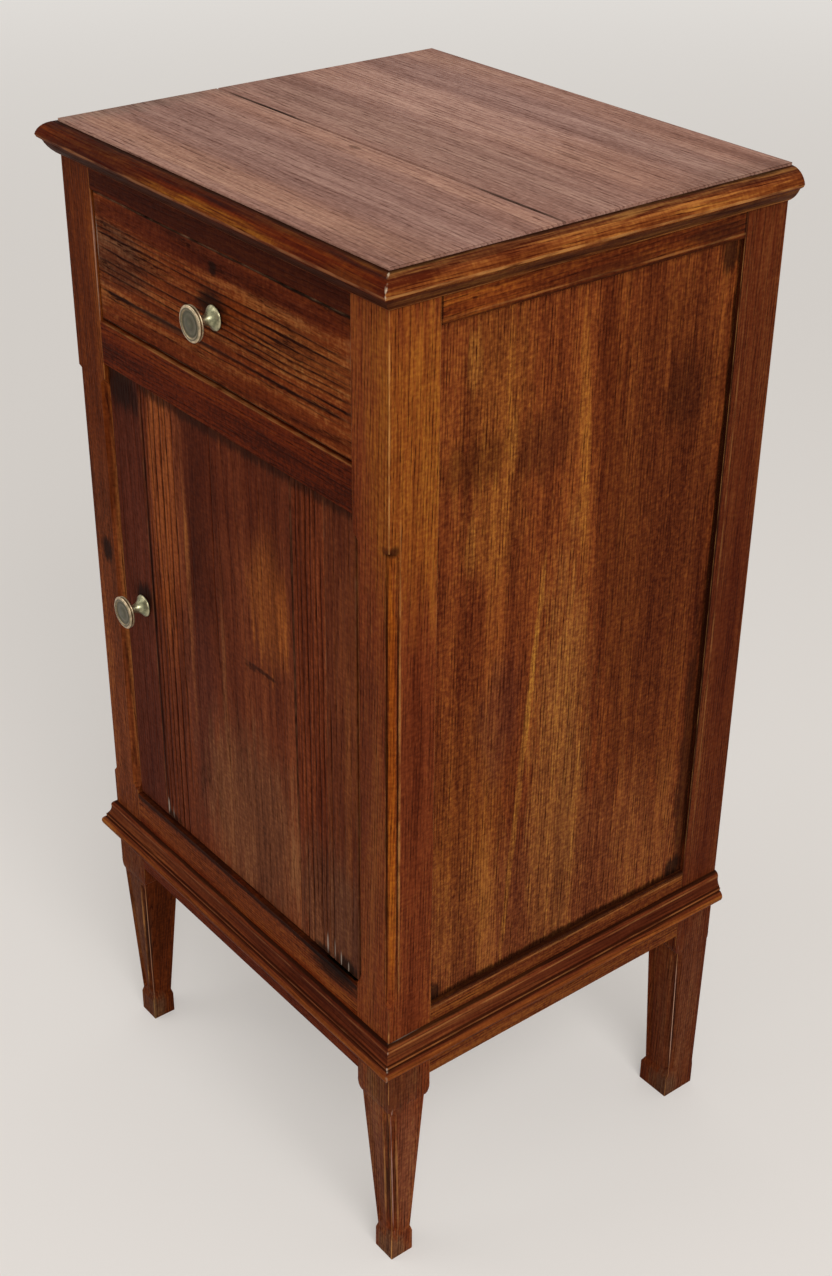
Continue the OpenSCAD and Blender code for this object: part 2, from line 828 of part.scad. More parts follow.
module drawer_guide(side) color(oak_plain) placed()
    on_side(side)
        slab(post_in, post_in + guide_t, post_d, rear_in, drawer_sill_z, drawer_sill_z + guide_h);

module left_drawer_runner() drawer_runner(-1);
module right_drawer_runner() drawer_runner(1);
module left_drawer_kicker() drawer_kicker(-1);
module right_drawer_kicker() drawer_kicker(1);
module left_drawer_guide() drawer_guide(-1);
module right_drawer_guide() drawer_guide(1);

module dust_block(reach, grow)
    slab(-runner_in - reach, runner_in + reach,
        front_rail_t - reach, runner_back + (grow > 0 ? over : 0),
        dust_z - grow, dust_z + dust_t + grow);

module dust_board() color(oak_plain) placed() dust_block(dust_groove - groove_room, 0);

module drawer_stops() color(oak_plain) placed()
    for (side = [-1, 1])
        translate([side * drawer_half / 2 - stop_w / 2, drawer_back_y + running_gap, drawer_sill_z])
            cube([stop_w, stop_w / 2, stop_h]);

module door_stop_strip() color(oak) placed()
    slab(-post_in, -post_in + strip_t, door_back_y + running_gap, post_d, floor_z, drawer_rail_z);

// Screws of the case

module kicker_screws(grow)
    for (side = [-1, 1], y = [top_front_d / 2, (top_front_d + body_d) / 2])
        translate([side * (post_in - runner_w / 2), y, top_rail_z])
            wood_screw(top_rail_h + top_t * 0.7, screw_r, screw_head_r, screw_head_h, grow);

module runner_screws(grow)
    for (side = [-1, 1], y = [(front_rail_t + post_d) / 2, (rear_in + runner_back) / 2])
        translate([side * runner_in, y, drawer_sill_z - screw_head_r - 0.6])
            rotate([0, side * 90, 0])
                wood_screw(runner_w + tenon_l, screw_r, screw_head_r, screw_head_h, grow);

module bearer_screws(grow)
    for (side = [-1, 1], y = [0.2, 0.8] * (rear_in - post_d) + [post_d, post_d])
        translate([side * (half_w - side_rail_t - bearer_w), y, floor_low_z - bearer_h / 2])
            rotate([0, side * 90, 0])
                wood_screw(bearer_w + side_rail_t / 2, screw_r, screw_head_r, screw_head_h, grow);

// Places of the two screws of a pivot plate, along X
function plate_screw_x() = [for (k = [1, 2]) pivot_x - k * plate_l / 4 - pin_r];

// Screws of a pivot plate at height z; up is 1 above the door and -1 below it
module plate_screws(z, up, grow)
    for (x = plate_screw_x())
        translate([x, pivot_y, z])
            rotate([up > 0 ? 0 : 180, 0, 0])
                wood_screw(14, small_screw_r, small_head_r, small_head_h * 0.9, grow);

module frame_screws() color(brass) placed() {
    kicker_screws(0);
    runner_screws(0);
    bearer_screws(0);
    plate_screws(drawer_rail_z, 1, 0);
    plate_screws(floor_z, -1, 0);
}

// Pivot plates of the door, let in flush with the rails

module plate_outline(grow)
    translate([pivot_x + plate_w / 2 - plate_l - grow, pivot_y - plate_w / 2 - grow])
        square([plate_l + 2 * grow, plate_w + 2 * grow]);

module pivot_plate(z, up) color(brass) placed()
    difference() {
        translate([0, 0, up > 0 ? z : z - plate_t]) linear_extrude(plate_t) plate_outline(0);
        translate([pivot_x, pivot_y, z - plate_t - over])
            cylinder(h = 2 * (plate_t + over), r = pin_r + pin_fit);
        plate_screws(z, up, screw_fit);
    }

// The bed cut for a plate, with room for the pin behind it
module pivot_bed(z, up) {
    translate([0, 0, up > 0 ? z - over : z - plate_t]) linear_extrude(plate_t + over) plate_outline(0);
    translate([pivot_x, pivot_y, up > 0 ? z : z - pin_out - 2])
        cylinder(h = pin_out + 2, r = pin_r + 0.5);
    plate_screws(z, up, screw_fit);
}

module top_pivot_plate() pivot_plate(drawer_rail_z, 1);
module bottom_pivot_plate() pivot_plate(floor_z, -1);

// Strike of the ball catch, let in flush with the underside of the drawer rail

strike_t = 1;
strike_w = 12;
strike_l = 26;

module strike_bed()
    slab(catch_x - strike_l / 2, catch_x + strike_l / 2, catch_y - strike_w / 2, catch_y + strike_w / 2,
        drawer_rail_z - over, drawer_rail_z + strike_t);

module catch_strike() color(brass) placed()
    difference() {
        slab(catch_x - strike_l / 2, catch_x + strike_l / 2,
            catch_y - strike_w / 2, catch_y + strike_w / 2, drawer_rail_z, drawer_rail_z + strike_t);
        translate([catch_x, catch_y, drawer_rail_z - over])
            cylinder(h = strike_t + 2 * over, r = ball_r * 0.8);
    }

// Drawer

// Dovetails on one end of a drawer side, in Y and Z, from the baseline y0 to the end y1
module tail_outlines(y0, y1, grow) {
    pitch = drawer_side_h / tails;
    narrow = pitch * 0.3;
    wide = narrow + abs(y1 - y0) * tan(tail_slope);
    way = sign(y1 - y0);
    for (i = [0:tails - 1]) {
        mid = drawer_side_z + pitch * (i + 0.5);
        polygon([
            [y0 - way * over, mid - narrow - grow], [y0, mid - narrow - grow],
            [y1 + way * grow, mid - wide - grow], [y1 + way * grow, mid + wide + grow],
            [y0, mid + narrow + grow], [y0 - way * over, mid + narrow + grow]]);
    }
}

// The tails of both corners on the right-hand side, as thick as the drawer side
module front_tails(grow)
    stand_x(drawer_inner - grow, drawer_half + (grow > 0 ? over : 0))
        tail_outlines(drawer_back_y, drawer_recess + lap_t, grow);

module rear_tails(grow)
    stand_x(drawer_inner - grow, drawer_half + (grow > 0 ? over : 0))
        tail_outlines(drawer_end_y - drawer_back_t, drawer_end_y, grow);

// The drawer bottom with the given reach into its grooves
module drawer_bottom_block(reach, grow)
    slab(-drawer_inner - reach, drawer_inner + reach, drawer_back_y - reach, drawer_end_y + grow,
        drawer_bottom_z - grow, drawer_bottom_z + drawer_bottom_t + grow);

module drawer_side(side) color(oak_plain) placed()
    on_side(side)
        difference() {
            union() {
                slab(drawer_inner, drawer_half, drawer_back_y, drawer_end_y - drawer_back_t,
                    drawer_side_z, drawer_side_z + drawer_side_h);
                front_tails(0);
                rear_tails(0);
            }
            slab(drawer_inner - over, drawer_inner + drawer_groove, 0, drawer_end_y + over,
                drawer_bottom_z - joint_fit, drawer_bottom_z + drawer_bottom_t + joint_fit);
        }

module drawer_left_side() drawer_side(-1);
module drawer_right_side() drawer_side(1);

module drawer_front() color(oak) placed()
    difference() {
        slab(-drawer_half, drawer_half, drawer_recess, drawer_back_y, drawer_front_z, drawer_front_top);
        for (side = [-1, 1]) on_side(side) front_tails(joint_fit);
        drawer_bottom_block(drawer_groove, joint_fit);
        knob_screw_hole(0, drawer_recess, drawer_knob_z, drawer_front_t);
    }

module drawer_back() color(oak_plain) placed()
    difference() {
        slab(-drawer_half, drawer_half, drawer_end_y - drawer_back_t, drawer_end_y,
            drawer_bottom_z + drawer_bottom_t, drawer_side_z + drawer_side_h - 6);
        for (side = [-1, 1]) on_side(side) rear_tails(joint_fit);
    }

module drawer_bottom() color(oak_plain) placed()
    drawer_bottom_block(drawer_groove - groove_room, 0);

// Door

// An upright door board in plan, with a tongue on its right edge and a groove on its left
module door_board(x0, x1, groove, tongue) {
    mid_y = (door_recess + door_back_y) / 2;
    b = board_bevel;
    translate([0, 0, door_z]) linear_extrude(door_top - door_z)
        difference() {
            union() {
                polygon([
                    [x0, door_back_y], [x0, door_recess + b], [x0 + b, door_recess],
                    [x1 - b, door_recess], [x1, door_recess + b], [x1, door_back_y]]);
                if (tongue)
                    translate([x1 - over, mid_y - tongue_t / 2])
                        square([tongue_l - groove_room + over, tongue_t]);
            }
            if (groove)
                translate([x0 - over, mid_y - tongue_t / 2 - joint_fit])
                    square([tongue_l + over, tongue_t + 2 * joint_fit]);
        }
}

module door_cuts() {
    batten_screws(screw_fit);
    pivot_pins(screw_fit);
}

module door_left_board() color(oak) placed()
    difference() {
        door_board(door_left, left_joint_x, false, true);
        door_cuts();
        knob_screw_hole(door_knob_x, door_recess, door_knob_z, door_t);
        translate([catch_x, catch_y, door_top - catch_l])
            cylinder(h = catch_l + over, r = catch_r + screw_fit);
    }

module door_main_board() color(oak) placed()
    difference() {
        door_board(left_joint_x, narrow_joint_x, true, true);
        door_cuts();
    }

module door_joint_board() color(oak) placed()
    difference() {
        door_board(narrow_joint_x, right_joint_x, true, true);
        door_cuts();
    }

module door_right_board() color(oak) placed()
    difference() {
        door_board(right_joint_x, door_right, true, false);
        door_cuts();
    }

module door_batten(z0) color(oak_plain) placed()
    difference() {
        slab(batten_left, batten_right, door_back_y, door_back_y + batten_t, z0, z0 + batten_h);
        batten_screws(screw_fit);
    }

module door_top_batten() door_batten(top_batten_z);
module door_bottom_batten() door_batten(low_batten_z);

// Screw places along the battens: one in each narrow board, three in the wide one
function batten_screw_x() = concat(
    [batten_left + 5],
    [for (k = [1:3]) left_joint_x + k * (narrow_joint_x - left_joint_x) / 4],
    [(narrow_joint_x + right_joint_x) / 2, (right_joint_x + door_right) / 2]);

module batten_screws(grow)
    for (x = batten_screw_x(), z = [top_batten_z, low_batten_z])
        translate([x, door_back_y + batten_t, z + batten_h / 2])
            rotate([90, 0, 0])
                wood_screw(batten_t + door_t * 0.7, screw_r, screw_head_r, screw_head_h, grow);

module door_batten_screws() color(brass) placed() batten_screws(0);

// The pins the door swings on; a collar carries it clear of the plate below
module pivot_pins(grow)
    for (z = [door_z - pin_out, door_top - pin_in_door])
        translate([pivot_x, pivot_y, z - grow])
            cylinder(h = pin_in_door + pin_out + 2 * grow, r = pin_r + grow);

module door_pivots() color(brass) placed() {
    pivot_pins(0);
    for (z = [door_z - door_gap_ends + running_gap, door_top])
        translate([pivot_x, pivot_y, z])
            cylinder(h = door_gap_ends - running_gap, r = pin_r * 1.8);
}

module door_catch() color(brass) placed() {
    translate([catch_x, catch_y, door_top - catch_l]) cylinder(h = catch_l, r = catch_r);
    translate([catch_x, catch_y, door_top + door_gap_ends - 0.4 - ball_r]) sphere(r = ball_r);
}

// Knobs: a turned foot, a slim neck and a ringed disc with a dished face

knob_bore_l = 10;

function knob_points() = let (disc_z = knob_l - knob_disc_t)
    concat(
        [[0, 0], [knob_foot_r - 0.3, 0], [knob_foot_r, 0.6], [knob_foot_r - 0.2, 1.3]],
        bow([knob_foot_r - 1, 1.8], [knob_neck_r, disc_z - 4.5], 1.6, 7),
        [[knob_neck_r, disc_z - 1.6]],
        bow([knob_neck_r + 0.6, disc_z - 0.6], [knob_r - 1.6, disc_z + 0.3], -0.4, 4),
        bow([knob_r - 0.7, disc_z + 0.5], [knob_r - 0.7, disc_z + 1.7], -0.5, 4),
        bow([knob_r - 0.7, disc_z + 1.9], [knob_r - 0.7, disc_z + 3.1], -0.5, 4),
        [[knob_r - 1.5, knob_l - 0.9]],
        bow([knob_r - 1.9, knob_l - 0.6], [knob_r - 3.6, knob_l - 0.7], -0.5, 4),
        bow([knob_r - 3.8, knob_l - 0.9], [0, knob_l], -0.3, 5));

module knob(x, y, z)
    difference() {
        translate([x, y, z]) rotate([90, 0, 0]) rotate_extrude() polygon(knob_points());
        translate([x, y + over, z]) rotate([90, 0, 0])
            cylinder(h = knob_bore_l + over, r = knob_screw_r + screw_fit);
    }

// A round-headed screw from behind, through a front of thickness t into the knob
module knob_screw(x, y, z, t)
    translate([x, y + t, z]) rotate([90, 0, 0]) {
        cylinder(h = t + knob_bore_l - 1, r = knob_screw_r);
        translate([0, 0, -2.4]) cylinder(h = 2.4, r1 = knob_screw_r * 1.8, r2 = knob_screw_r * 2.3);
    }

module knob_screw_hole(x, y, z, t)
    translate([x, y - over, z]) rotate([-90, 0, 0])
        cylinder(h = t + 2 * over, r = knob_screw_r + screw_fit);

module drawer_knob() color(brass) placed() knob(0, drawer_recess, drawer_knob_z);
module drawer_knob_screw() color(brass) placed() knob_screw(0, drawer_recess, drawer_knob_z, drawer_front_t);
module door_knob() color(brass) placed() knob(door_knob_x, door_recess, door_knob_z);
module door_knob_screw() color(brass) placed() knob_screw(door_knob_x, door_recess, door_knob_z, door_t);

top_front_board();
top_rear_board();
top_moulding_front();
top_moulding_left();
top_moulding_right();
front_left_post();
front_right_post();
rear_left_post();
rear_right_post();
front_top_rail();
drawer_rail();
front_bottom_rail();
left_top_rail();
right_top_rail();
left_bottom_rail();
right_bottom_rail();
back_top_rail();
back_bottom_rail();
left_side_panel();
right_side_panel();
back_board_left();
back_board_middle();
back_board_right();
plinth_moulding_front();
plinth_moulding_left();
plinth_moulding_right();
bottom_board();
left_bottom_bearer();
right_bottom_bearer();
dust_board();
left_drawer_runner();
right_drawer_runner();
left_drawer_guide();
right_drawer_guide();
left_drawer_kicker();
right_drawer_kicker();
drawer_stops();
door_stop_strip();
top_pivot_plate();
bottom_pivot_plate();
catch_strike();
frame_screws();
drawer_front();
drawer_left_side();
drawer_right_side();
drawer_back();
drawer_bottom();
drawer_knob();
drawer_knob_screw();
door_left_board();
door_main_board();
door_joint_board();
door_right_board();
door_top_batten();
door_bottom_batten();
door_knob();
door_knob_screw();
door_pivots();
door_batten_screws();
door_catch();
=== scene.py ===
"""Looks of a bedside cabinet in stained oak, put together in the order a joiner would use."""

import math

import bmesh
import bpy
from mathutils import Matrix, Vector, noise


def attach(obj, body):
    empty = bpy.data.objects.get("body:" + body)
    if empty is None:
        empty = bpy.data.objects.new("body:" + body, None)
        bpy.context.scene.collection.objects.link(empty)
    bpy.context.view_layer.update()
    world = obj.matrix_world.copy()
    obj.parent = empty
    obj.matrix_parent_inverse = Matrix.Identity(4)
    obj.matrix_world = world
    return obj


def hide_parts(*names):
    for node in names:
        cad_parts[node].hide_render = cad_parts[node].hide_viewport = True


# The cabinet as packed: every solid of the case, the drawer and the door, in metres, with the
# floor at Z = 0 and the front towards -Y.
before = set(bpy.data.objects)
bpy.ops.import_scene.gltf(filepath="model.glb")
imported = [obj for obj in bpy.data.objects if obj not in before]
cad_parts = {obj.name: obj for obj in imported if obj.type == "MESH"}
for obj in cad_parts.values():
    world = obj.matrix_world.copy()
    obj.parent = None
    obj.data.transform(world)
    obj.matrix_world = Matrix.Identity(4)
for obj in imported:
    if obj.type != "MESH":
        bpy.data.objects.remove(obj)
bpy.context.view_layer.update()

# Camera. The photograph looks down at the corner between the front and the right-hand side.
# Place, direction and lens were solved on the straight edges of the cabinet.
turn, tilt, roll = math.radians(51.47), math.radians(30.69), math.radians(0.53)
right = Vector((math.cos(turn), math.sin(turn), 0))
back = Vector((math.sin(turn) * math.cos(tilt), -math.cos(turn) * math.cos(tilt), math.sin(tilt)))
up = back.cross(right)
camera = bpy.data.objects.new("camera", bpy.data.cameras.new("camera"))
camera.matrix_world = Matrix((
    right * math.cos(roll) + up * math.sin(roll),
    up * math.cos(roll) - right * math.sin(roll),
    back)).transposed().to_4x4()
camera.location = (1.0181, -0.79595, 1.1948)
camera.data.lens = 54.08
camera.data.clip_end = 60
bpy.context.collection.objects.link(camera)
bpy.context.scene.camera = camera

# Posts and legs. Four posts of oak, sawn square, tapered below the case and fluted by hand, then
# stained reddish brown and waxed. Handling has rounded every arris and rubbed it down to pale
# wood, and glints of light are painted along the arrises as well. Wax and dust sit dark in the
# quirks, where shade is painted too, and the flutes carry painted shade in their hollows and
# painted highlights on their lit sides.

# Sizes of pieces and patches are in millimetres, and Blender's are in metres
metre = 1000


def tone(hex_code):
    """A colour written in sRGB, such as "#6b3318", as linear red, green, blue and alpha."""
    parts = [int(hex_code[i:i + 2], 16) / 255 for i in (1, 3, 5)]
    return [c / 12.92 if c <= 0.04045 else ((c + 0.055) / 1.055) ** 2.4 for c in parts] + [1]


def blank_material(name):
    """A new material and its node tree, which is empty."""
    made = bpy.data.materials.new(name)
    made.use_nodes = True
    made.node_tree.nodes.clear()
    return made, made.node_tree


def add(tree, kind, feeds=None, stops=None, **settings):
    """Adds one node. feeds gives each input a value or the output that drives it, and stops the
    places and colours of a ramp."""
    node = tree.nodes.new("ShaderNode" + kind)
    for name, value in settings.items():
        setattr(node, name, value)
    for place, value in (feeds or {}).items():
        if isinstance(value, bpy.types.NodeSocket):
            tree.links.new(value, node.inputs[place])
        else:
            node.inputs[place].default_value = value
    if stops:
        ramp = node.color_ramp.elements
        while len(ramp) < len(stops):
            ramp.new(1)
        for element, (place, colour) in zip(ramp, stops):
            element.position = place
            element.color = tone(colour) if isinstance(colour, str) else (colour, colour, colour, 1)
    return node


def oak(name, along, heart, ring, tones, groove="#2a0d05", blotch=(26, 300), contrast=1.0,
        wander=6, line_share=0.7, pore=(9, 0.8, 0.6), curl=0.6, relief=0.25, rough=0.42,
        gloss=0.012, worn_and_glinting="#b98148", tints=(), marks=(), wear_and_glints=()):
    """Stained oak with its grain along one axis. heart is a point on the heart of the tree: near
    the board it gives arched figure, far from it straight lines. ring is the width of a year's
    growth, wander how far the rings stray and line_share how dark they are. tones are the stain's
    colours from dark to light, groove the colour of pores and grooves, and worn that of arrises
    gone pale with handling, which also stands in for glints of light painted along them. blotch is
    the width and length of the stain's streaks, pore the length, width and share of the pores,
    curl the strength of the fine mottle, and relief the height of the ridges. tints lie under the
    grain and marks over it, each (centre, radii, colour, strength), with the degrees it leans
    about X and Y where it is not upright. wear lists arrises gone pale, with painted glints of
    light on them, as (centre, radii, strength, lean)."""
    made, tree = blank_material(name)
    place = add(tree, "TexCoord").outputs["Object"]
    mm = add(tree, "Mapping", {0: place, "Location": [-c for c in heart],
                               "Scale": (metre, metre, metre)})
    axes = add(tree, "SeparateXYZ", {0: mm.outputs[0]}).outputs
    t = axes["XYZ".index(along)]
    u, v = [axes[i] for i in range(3) if "XYZ"[i] != along]
    grain = add(tree, "CombineXYZ", {0: t, 1: u, 2: v}).outputs[0]

    def streaks(length, width, detail=2.0, roughness=0.5, shift=0.0):
        """Noise drawn out along the grain. Each shift gives another noise."""
        fitted = add(tree, "Mapping", {0: grain, "Location": (shift, shift, shift),
                                       "Scale": (1 / length, 1 / width, 1 / width)})
        return add(tree, "TexNoise", {0: fitted.outputs[0], "Scale": 1, "Detail": detail,
                                      "Roughness": roughness}).outputs[0]

    def plus(a, b, by=1.0):
        return add(tree, "Math", {0: b, 1: by, 2: a}, operation="MULTIPLY_ADD").outputs[0]

    def times(a, b):
        return add(tree, "Math", {0: a, 1: b}, operation="MULTIPLY", use_clamp=True).outputs[0]

    def paint_over(colour, share, paint):
        return add(tree, "Mix", {0: share, 6: colour, 7: tone(paint)}, data_type="RGBA").outputs[2]

    # The growth rings: distance from the heart, which tapers and strays, counted in years
    taper = 0.02
    across = add(tree, "CombineXYZ", {1: u, 2: v}).outputs[0]
    radius = add(tree, "VectorMath", {0: across}, operation="LENGTH").outputs["Value"]
    radius = plus(radius, t, taper)
    radius = plus(radius, streaks(260, 34, 1.5), wander)
    radius = plus(radius, streaks(48, 8, 1.0, shift=7), wander * 0.2)
    year = add(tree, "Math", {0: radius, 1: 1 / ring}, operation="MULTIPLY").outputs[0]
    year = add(tree, "Math", {0: year}, operation="FRACT").outputs[0]
    # The pores of a year's first growth are a dark open line, and its late growth is smooth
    line = add(tree, "ValToRGB", {0: year}, stops=[
        (0.0, 0.2), (0.07, 1.0), (0.2, 0.7), (0.42, 0.2), (0.8, 0.0), (1.0, 0.2)]).outputs[0]
    patchy = add(tree, "MapRange", {"Value": streaks(55, 5, 2.0, shift=41), "From Min": 0.36,
                                    "From Max": 0.58, "To Min": 0.15}).outputs[0]
    line = times(line, patchy)
    pore_length, pore_width, pore_share = pore
    dashes = add(tree, "MapRange", {"Value": streaks(pore_length, pore_width, 1.5, shift=3),
                                    "From Min": 0.5, "From Max": 0.36}).outputs[0]
    open_pores = times(dashes, plus(0.45, line, 0.55))

    # The stain: broad clouds, narrower streaks, fibres, and flecks that lie across the grain. Each
    # noise is 0.5 on average, and half of its share is taken off, so that the stain is 0.5 too
    blotch_width, blotch_length = blotch
    layers = [(streaks(blotch_length, blotch_width, 2.5, shift=5), 1.3),
              (streaks(150, 6, 2.0, shift=23), 0.6),
              (streaks(45, 1.7, 3.0, 0.6, shift=11), 0.8),
              (streaks(2.2, 5, 1.0, shift=29), 0.2 + curl / 2),
              (streaks(3.6, 2.2, 2.0, shift=37), curl)]
    stain = 0.5 - sum(share for _, share in layers) / 2 * contrast
    for noises, share in layers:
        stain = plus(stain, noises, share * contrast)
    dark, middle, light = tones
    colour = add(tree, "ValToRGB", {0: stain}, stops=[
        (0.16, dark), (0.5, middle), (0.84, light)]).outputs[0]

    ragged = streaks(42, 4.5, 4.0, 0.65, shift=31)

    def near(centre, radii, strength, lean=(0, 0)):
        """The strength inside an oval with a soft and ragged edge, and 0 outside it."""
        oval = add(tree, "Mapping", {0: place, "Location": [c / metre for c in centre],
                                     "Rotation": [math.radians(a) for a in lean] + [0],
                                     "Scale": [r / metre for r in radii]}, vector_type="TEXTURE")
        far = add(tree, "VectorMath", {0: oval.outputs[0]}, operation="LENGTH").outputs["Value"]
        return add(tree, "MapRange", {"Value": plus(far, ragged, 1.6), "From Min": 2.0,
                                      "From Max": 1.3, "To Max": strength},
                   interpolation_type="SMOOTHSTEP").outputs[0]

    def patches(colour, places):
        """The colour with each patch laid over it."""
        for centre, radii, paint, strength, *lean in places:
            colour = paint_over(colour, near(centre, radii, strength, *lean), paint)
        return colour

    # A tint changes the stain's colour, and the figure of the wood stays in it
    if tints:
        plain = add(tree, "RGB")
        plain.outputs[0].default_value = tone(middle)
        tinted = add(tree, "VectorMath", {0: patches(plain.outputs[0], tints),
                                          1: [1 / c for c in tone(middle)[:3]]},
                     operation="MULTIPLY").outputs[0]
        colour = add(tree, "VectorMath", {0: colour, 1: tinted}, operation="MULTIPLY").outputs[0]
    lines = plus(times(line, line_share), open_pores, pore_share)
    grooves = add(tree, "Attribute", attribute_name="groove").outputs["Fac"]
    colour = paint_over(colour, times(plus(lines, grooves, 0.9), 0.9), groove)
    colour = patches(colour, marks)

    # Arrises gone pale with handling, with glints of light painted on them, where the attribute
    # worn or the list wear says, in broken lengths
    rubbed_and_glinting = add(tree, "Attribute", attribute_name="worn_and_glinting").outputs["Fac"]
    for centre, radii, strength, *lean in wear_and_glints:
        rubbed_and_glinting = plus(rubbed_and_glinting, near(centre, radii, strength, *lean))
    broken = add(tree, "MapRange", {"Value": streaks(22, 6, 3.0, shift=17), "From Min": 0.38,
                                    "From Max": 0.58, "To Min": 0.15, "To Max": 0.95}).outputs[0]
    colour = paint_over(colour, times(rubbed_and_glinting, broken), worn_and_glinting)

    height = plus(plus(1.0, line, -0.55), open_pores, -0.45)
    bump = add(tree, "Bump", {"Strength": 1.0, "Distance": relief / metre,
                              "Height": height}).outputs[0]
    shader = add(tree, "BsdfPrincipled", {"Base Color": colour, "Normal": bump,
                                          "Roughness": plus(rough, open_pores, 0.3),
                                          "Specular IOR Level": gloss})
    add(tree, "OutputMaterial", {0: shader.outputs[0]})
    return made


def finish_with(material, *nodes):
    """Gives carried-over solids their finish."""
    for node in nodes:
        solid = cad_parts[node]
        for each in solid.material_slots:
            each.material = material


def piece_of(name, shape, material):
    """An object made of a finished mesh, with its material."""
    mesh = bpy.data.meshes.new(name)
    shape.to_mesh(mesh)
    shape.free()
    mesh.materials.append(material)
    piece = bpy.data.objects.new(name, mesh)
    bpy.context.collection.objects.link(piece)
    return piece


def eased(name, node, material, body, rubbed_and_glinting, width=0.35, sharp=75):
    """A copy of a solid with its long arrises rounded by hand, which stands for that solid. An
    arris is an edge that turns by more than sharp degrees; it is cut back by width, and its
    rounded faces carry the attribute worn, with the value rubbed, for pale wood with painted
    glints of light."""
    shortest_arris = 4
    same_place = 2e-6  # in metres
    coplanar, crisp = math.radians(0.6), math.radians(12)
    shape = bmesh.new()
    shape.from_mesh(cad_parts[node].data)
    worn_and_glinting = shape.faces.layers.float.new("worn_and_glinting")
    bmesh.ops.remove_doubles(shape, verts=shape.verts, dist=same_place)
    bmesh.ops.dissolve_limit(shape, angle_limit=coplanar, verts=shape.verts, edges=shape.edges)
    arrises = [e for e in shape.edges if len(e.link_faces) == 2
               and e.calc_length() > shortest_arris / metre
               and e.calc_face_angle_signed() > math.radians(sharp)]
    rounded = bmesh.ops.bevel(shape, geom=arrises, offset=width / metre, offset_type="OFFSET",
                              affect="EDGES", segments=2, profile=0.5, material=-1)
    for face in rounded["faces"]:
        face[worn_and_glinting] = rubbed_and_glinting
    # Curves are shaded round, and arrises and the facets of flat faces crisp
    for face in shape.faces:
        face.smooth = True
    for edge in shape.edges:
        edge.smooth = len(edge.link_faces) == 2 and edge.calc_face_angle() < crisp
    piece = piece_of(name, shape, material)
    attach(piece, body)
    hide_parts(node)


# Places on the posts: the right-hand side of the case, the middle and half length of the stopped
# bead, and the middle of a leg's flutes. The corner of a leg leans in towards its foot
side_x = 191
bead_z, bead_half = 450, 216
flute_z = 94
outer_lean, inner_lean, rear_lean = (2.55, 1.59), (2.55, 4.43), (1.92, 0.38)
post_oak_right = oak(
    "stained_oak_right_post", "Z", (600, 300, 0), ring=2.0, tones=("#4e1d0b", "#6f3217", "#8a4a20"),
    contrast=0.8,
    tints=[
        ((side_x, -140, 690), (24, 60, 120), "#8a4a18", 0.6),
        ((side_x, -138, 400), (40, 60, 160), "#6b3018", 0.4),
        ((170, -158, 420), (18, 4, 200), "#5c2c18", 0.6),
        ((189, -155.5, bead_z), (3.0, 3.6, bead_half), "#90460f", 0.7),
        ((168, -157, 80), (24, 8, 130), "#643a29", 0.7),
        ((189, -140, 90), (6, 14, 100), "#7a4830", 0.6),
        ((186, -154, 182), (30, 30, 26), "#54301c", 0.6),
        ((184, -152, 8), (14, 14, 20), "#6e5038", 0.6)],
    marks=[
        # Painted shade in the quirks beside the bead, where wax and dust sit dark as well
        ((190.2, -151.4, bead_z), (1.3, 1.0, bead_half), "#1c0903", 0.85),
        ((187, -158, bead_z), (0.9, 1.6, bead_half), "#1c0903", 0.85),
        ((189, -156, 635), (5, 6, 5), "#240c06", 0.8),
        # The flute: painted shade in its hollow, a painted highlight on its lit side and painted
        # shade on its far wall
        ((184.6, -154.2, flute_z), (4.2, 2.2, 64), "#2c180e", 0.85, outer_lean),
        ((187.4, -152.0, flute_z), (4, 0.6, 76), "#b58a7a", 0.75, outer_lean),
        ((187, -149.9, flute_z), (3, 1.1, 62), "#3a1c10", 0.6, outer_lean)],
    wear_and_glints=[
        ((side_x, -150.2, bead_z), (1.0, 1.0, bead_half), 0.55),
        ((side_x, -159.25, 715), (1.1, 1.1, 92), 0.4),
        ((side_x, -159.25, 248), (1.3, 1.3, 20), 0.5), ((187, -153.6, 14), (1.3, 1.3, 16), 0.5),
        ((180.2, -154.7, flute_z), (1.0, 1.0, 66), 0.45, outer_lean),
        ((187.6, -148.5, flute_z), (1.1, 0.9, 66), 0.5, outer_lean)])
post_oak_left = oak(
    "stained_oak_left_post", "Z", (-600, 300, 0), ring=2.0, tones=("#401906", "#5e280e", "#793d15"),
    contrast=0.8,
    tints=[
        ((-172, -157, 390), (26, 9, 190), "#73391d", 0.85),
        ((-154.8, -157, 445), (2.4, 9, 150), "#8e5228", 0.75),
        ((-172, -157, 80), (24, 8, 130), "#503020", 0.6),
        ((-160, -152, 8), (14, 14, 20), "#5e4632", 0.6)],
    marks=[
        ((-171, -159, 487), (9, 8, 12), "#1c0c07", 0.9),
        # The flute: painted shade in its hollow and a painted highlight on its lit side
        ((-166, -153.6, flute_z), (3.4, 1.8, 62), "#26130b", 0.8, inner_lean),
        ((-162.3, -154.6, flute_z), (1.1, 1.4, 68), "#a87c68", 0.6, inner_lean),
        # A painted glint on the inner arris
        ((-153, -159.2, 730), (0.4, 1.2, 56), "#a88474", 0.55)],
    wear_and_glints=[
        ((-169.7, -154.7, flute_z), (1.1, 1.1, 66), 0.5, inner_lean)])
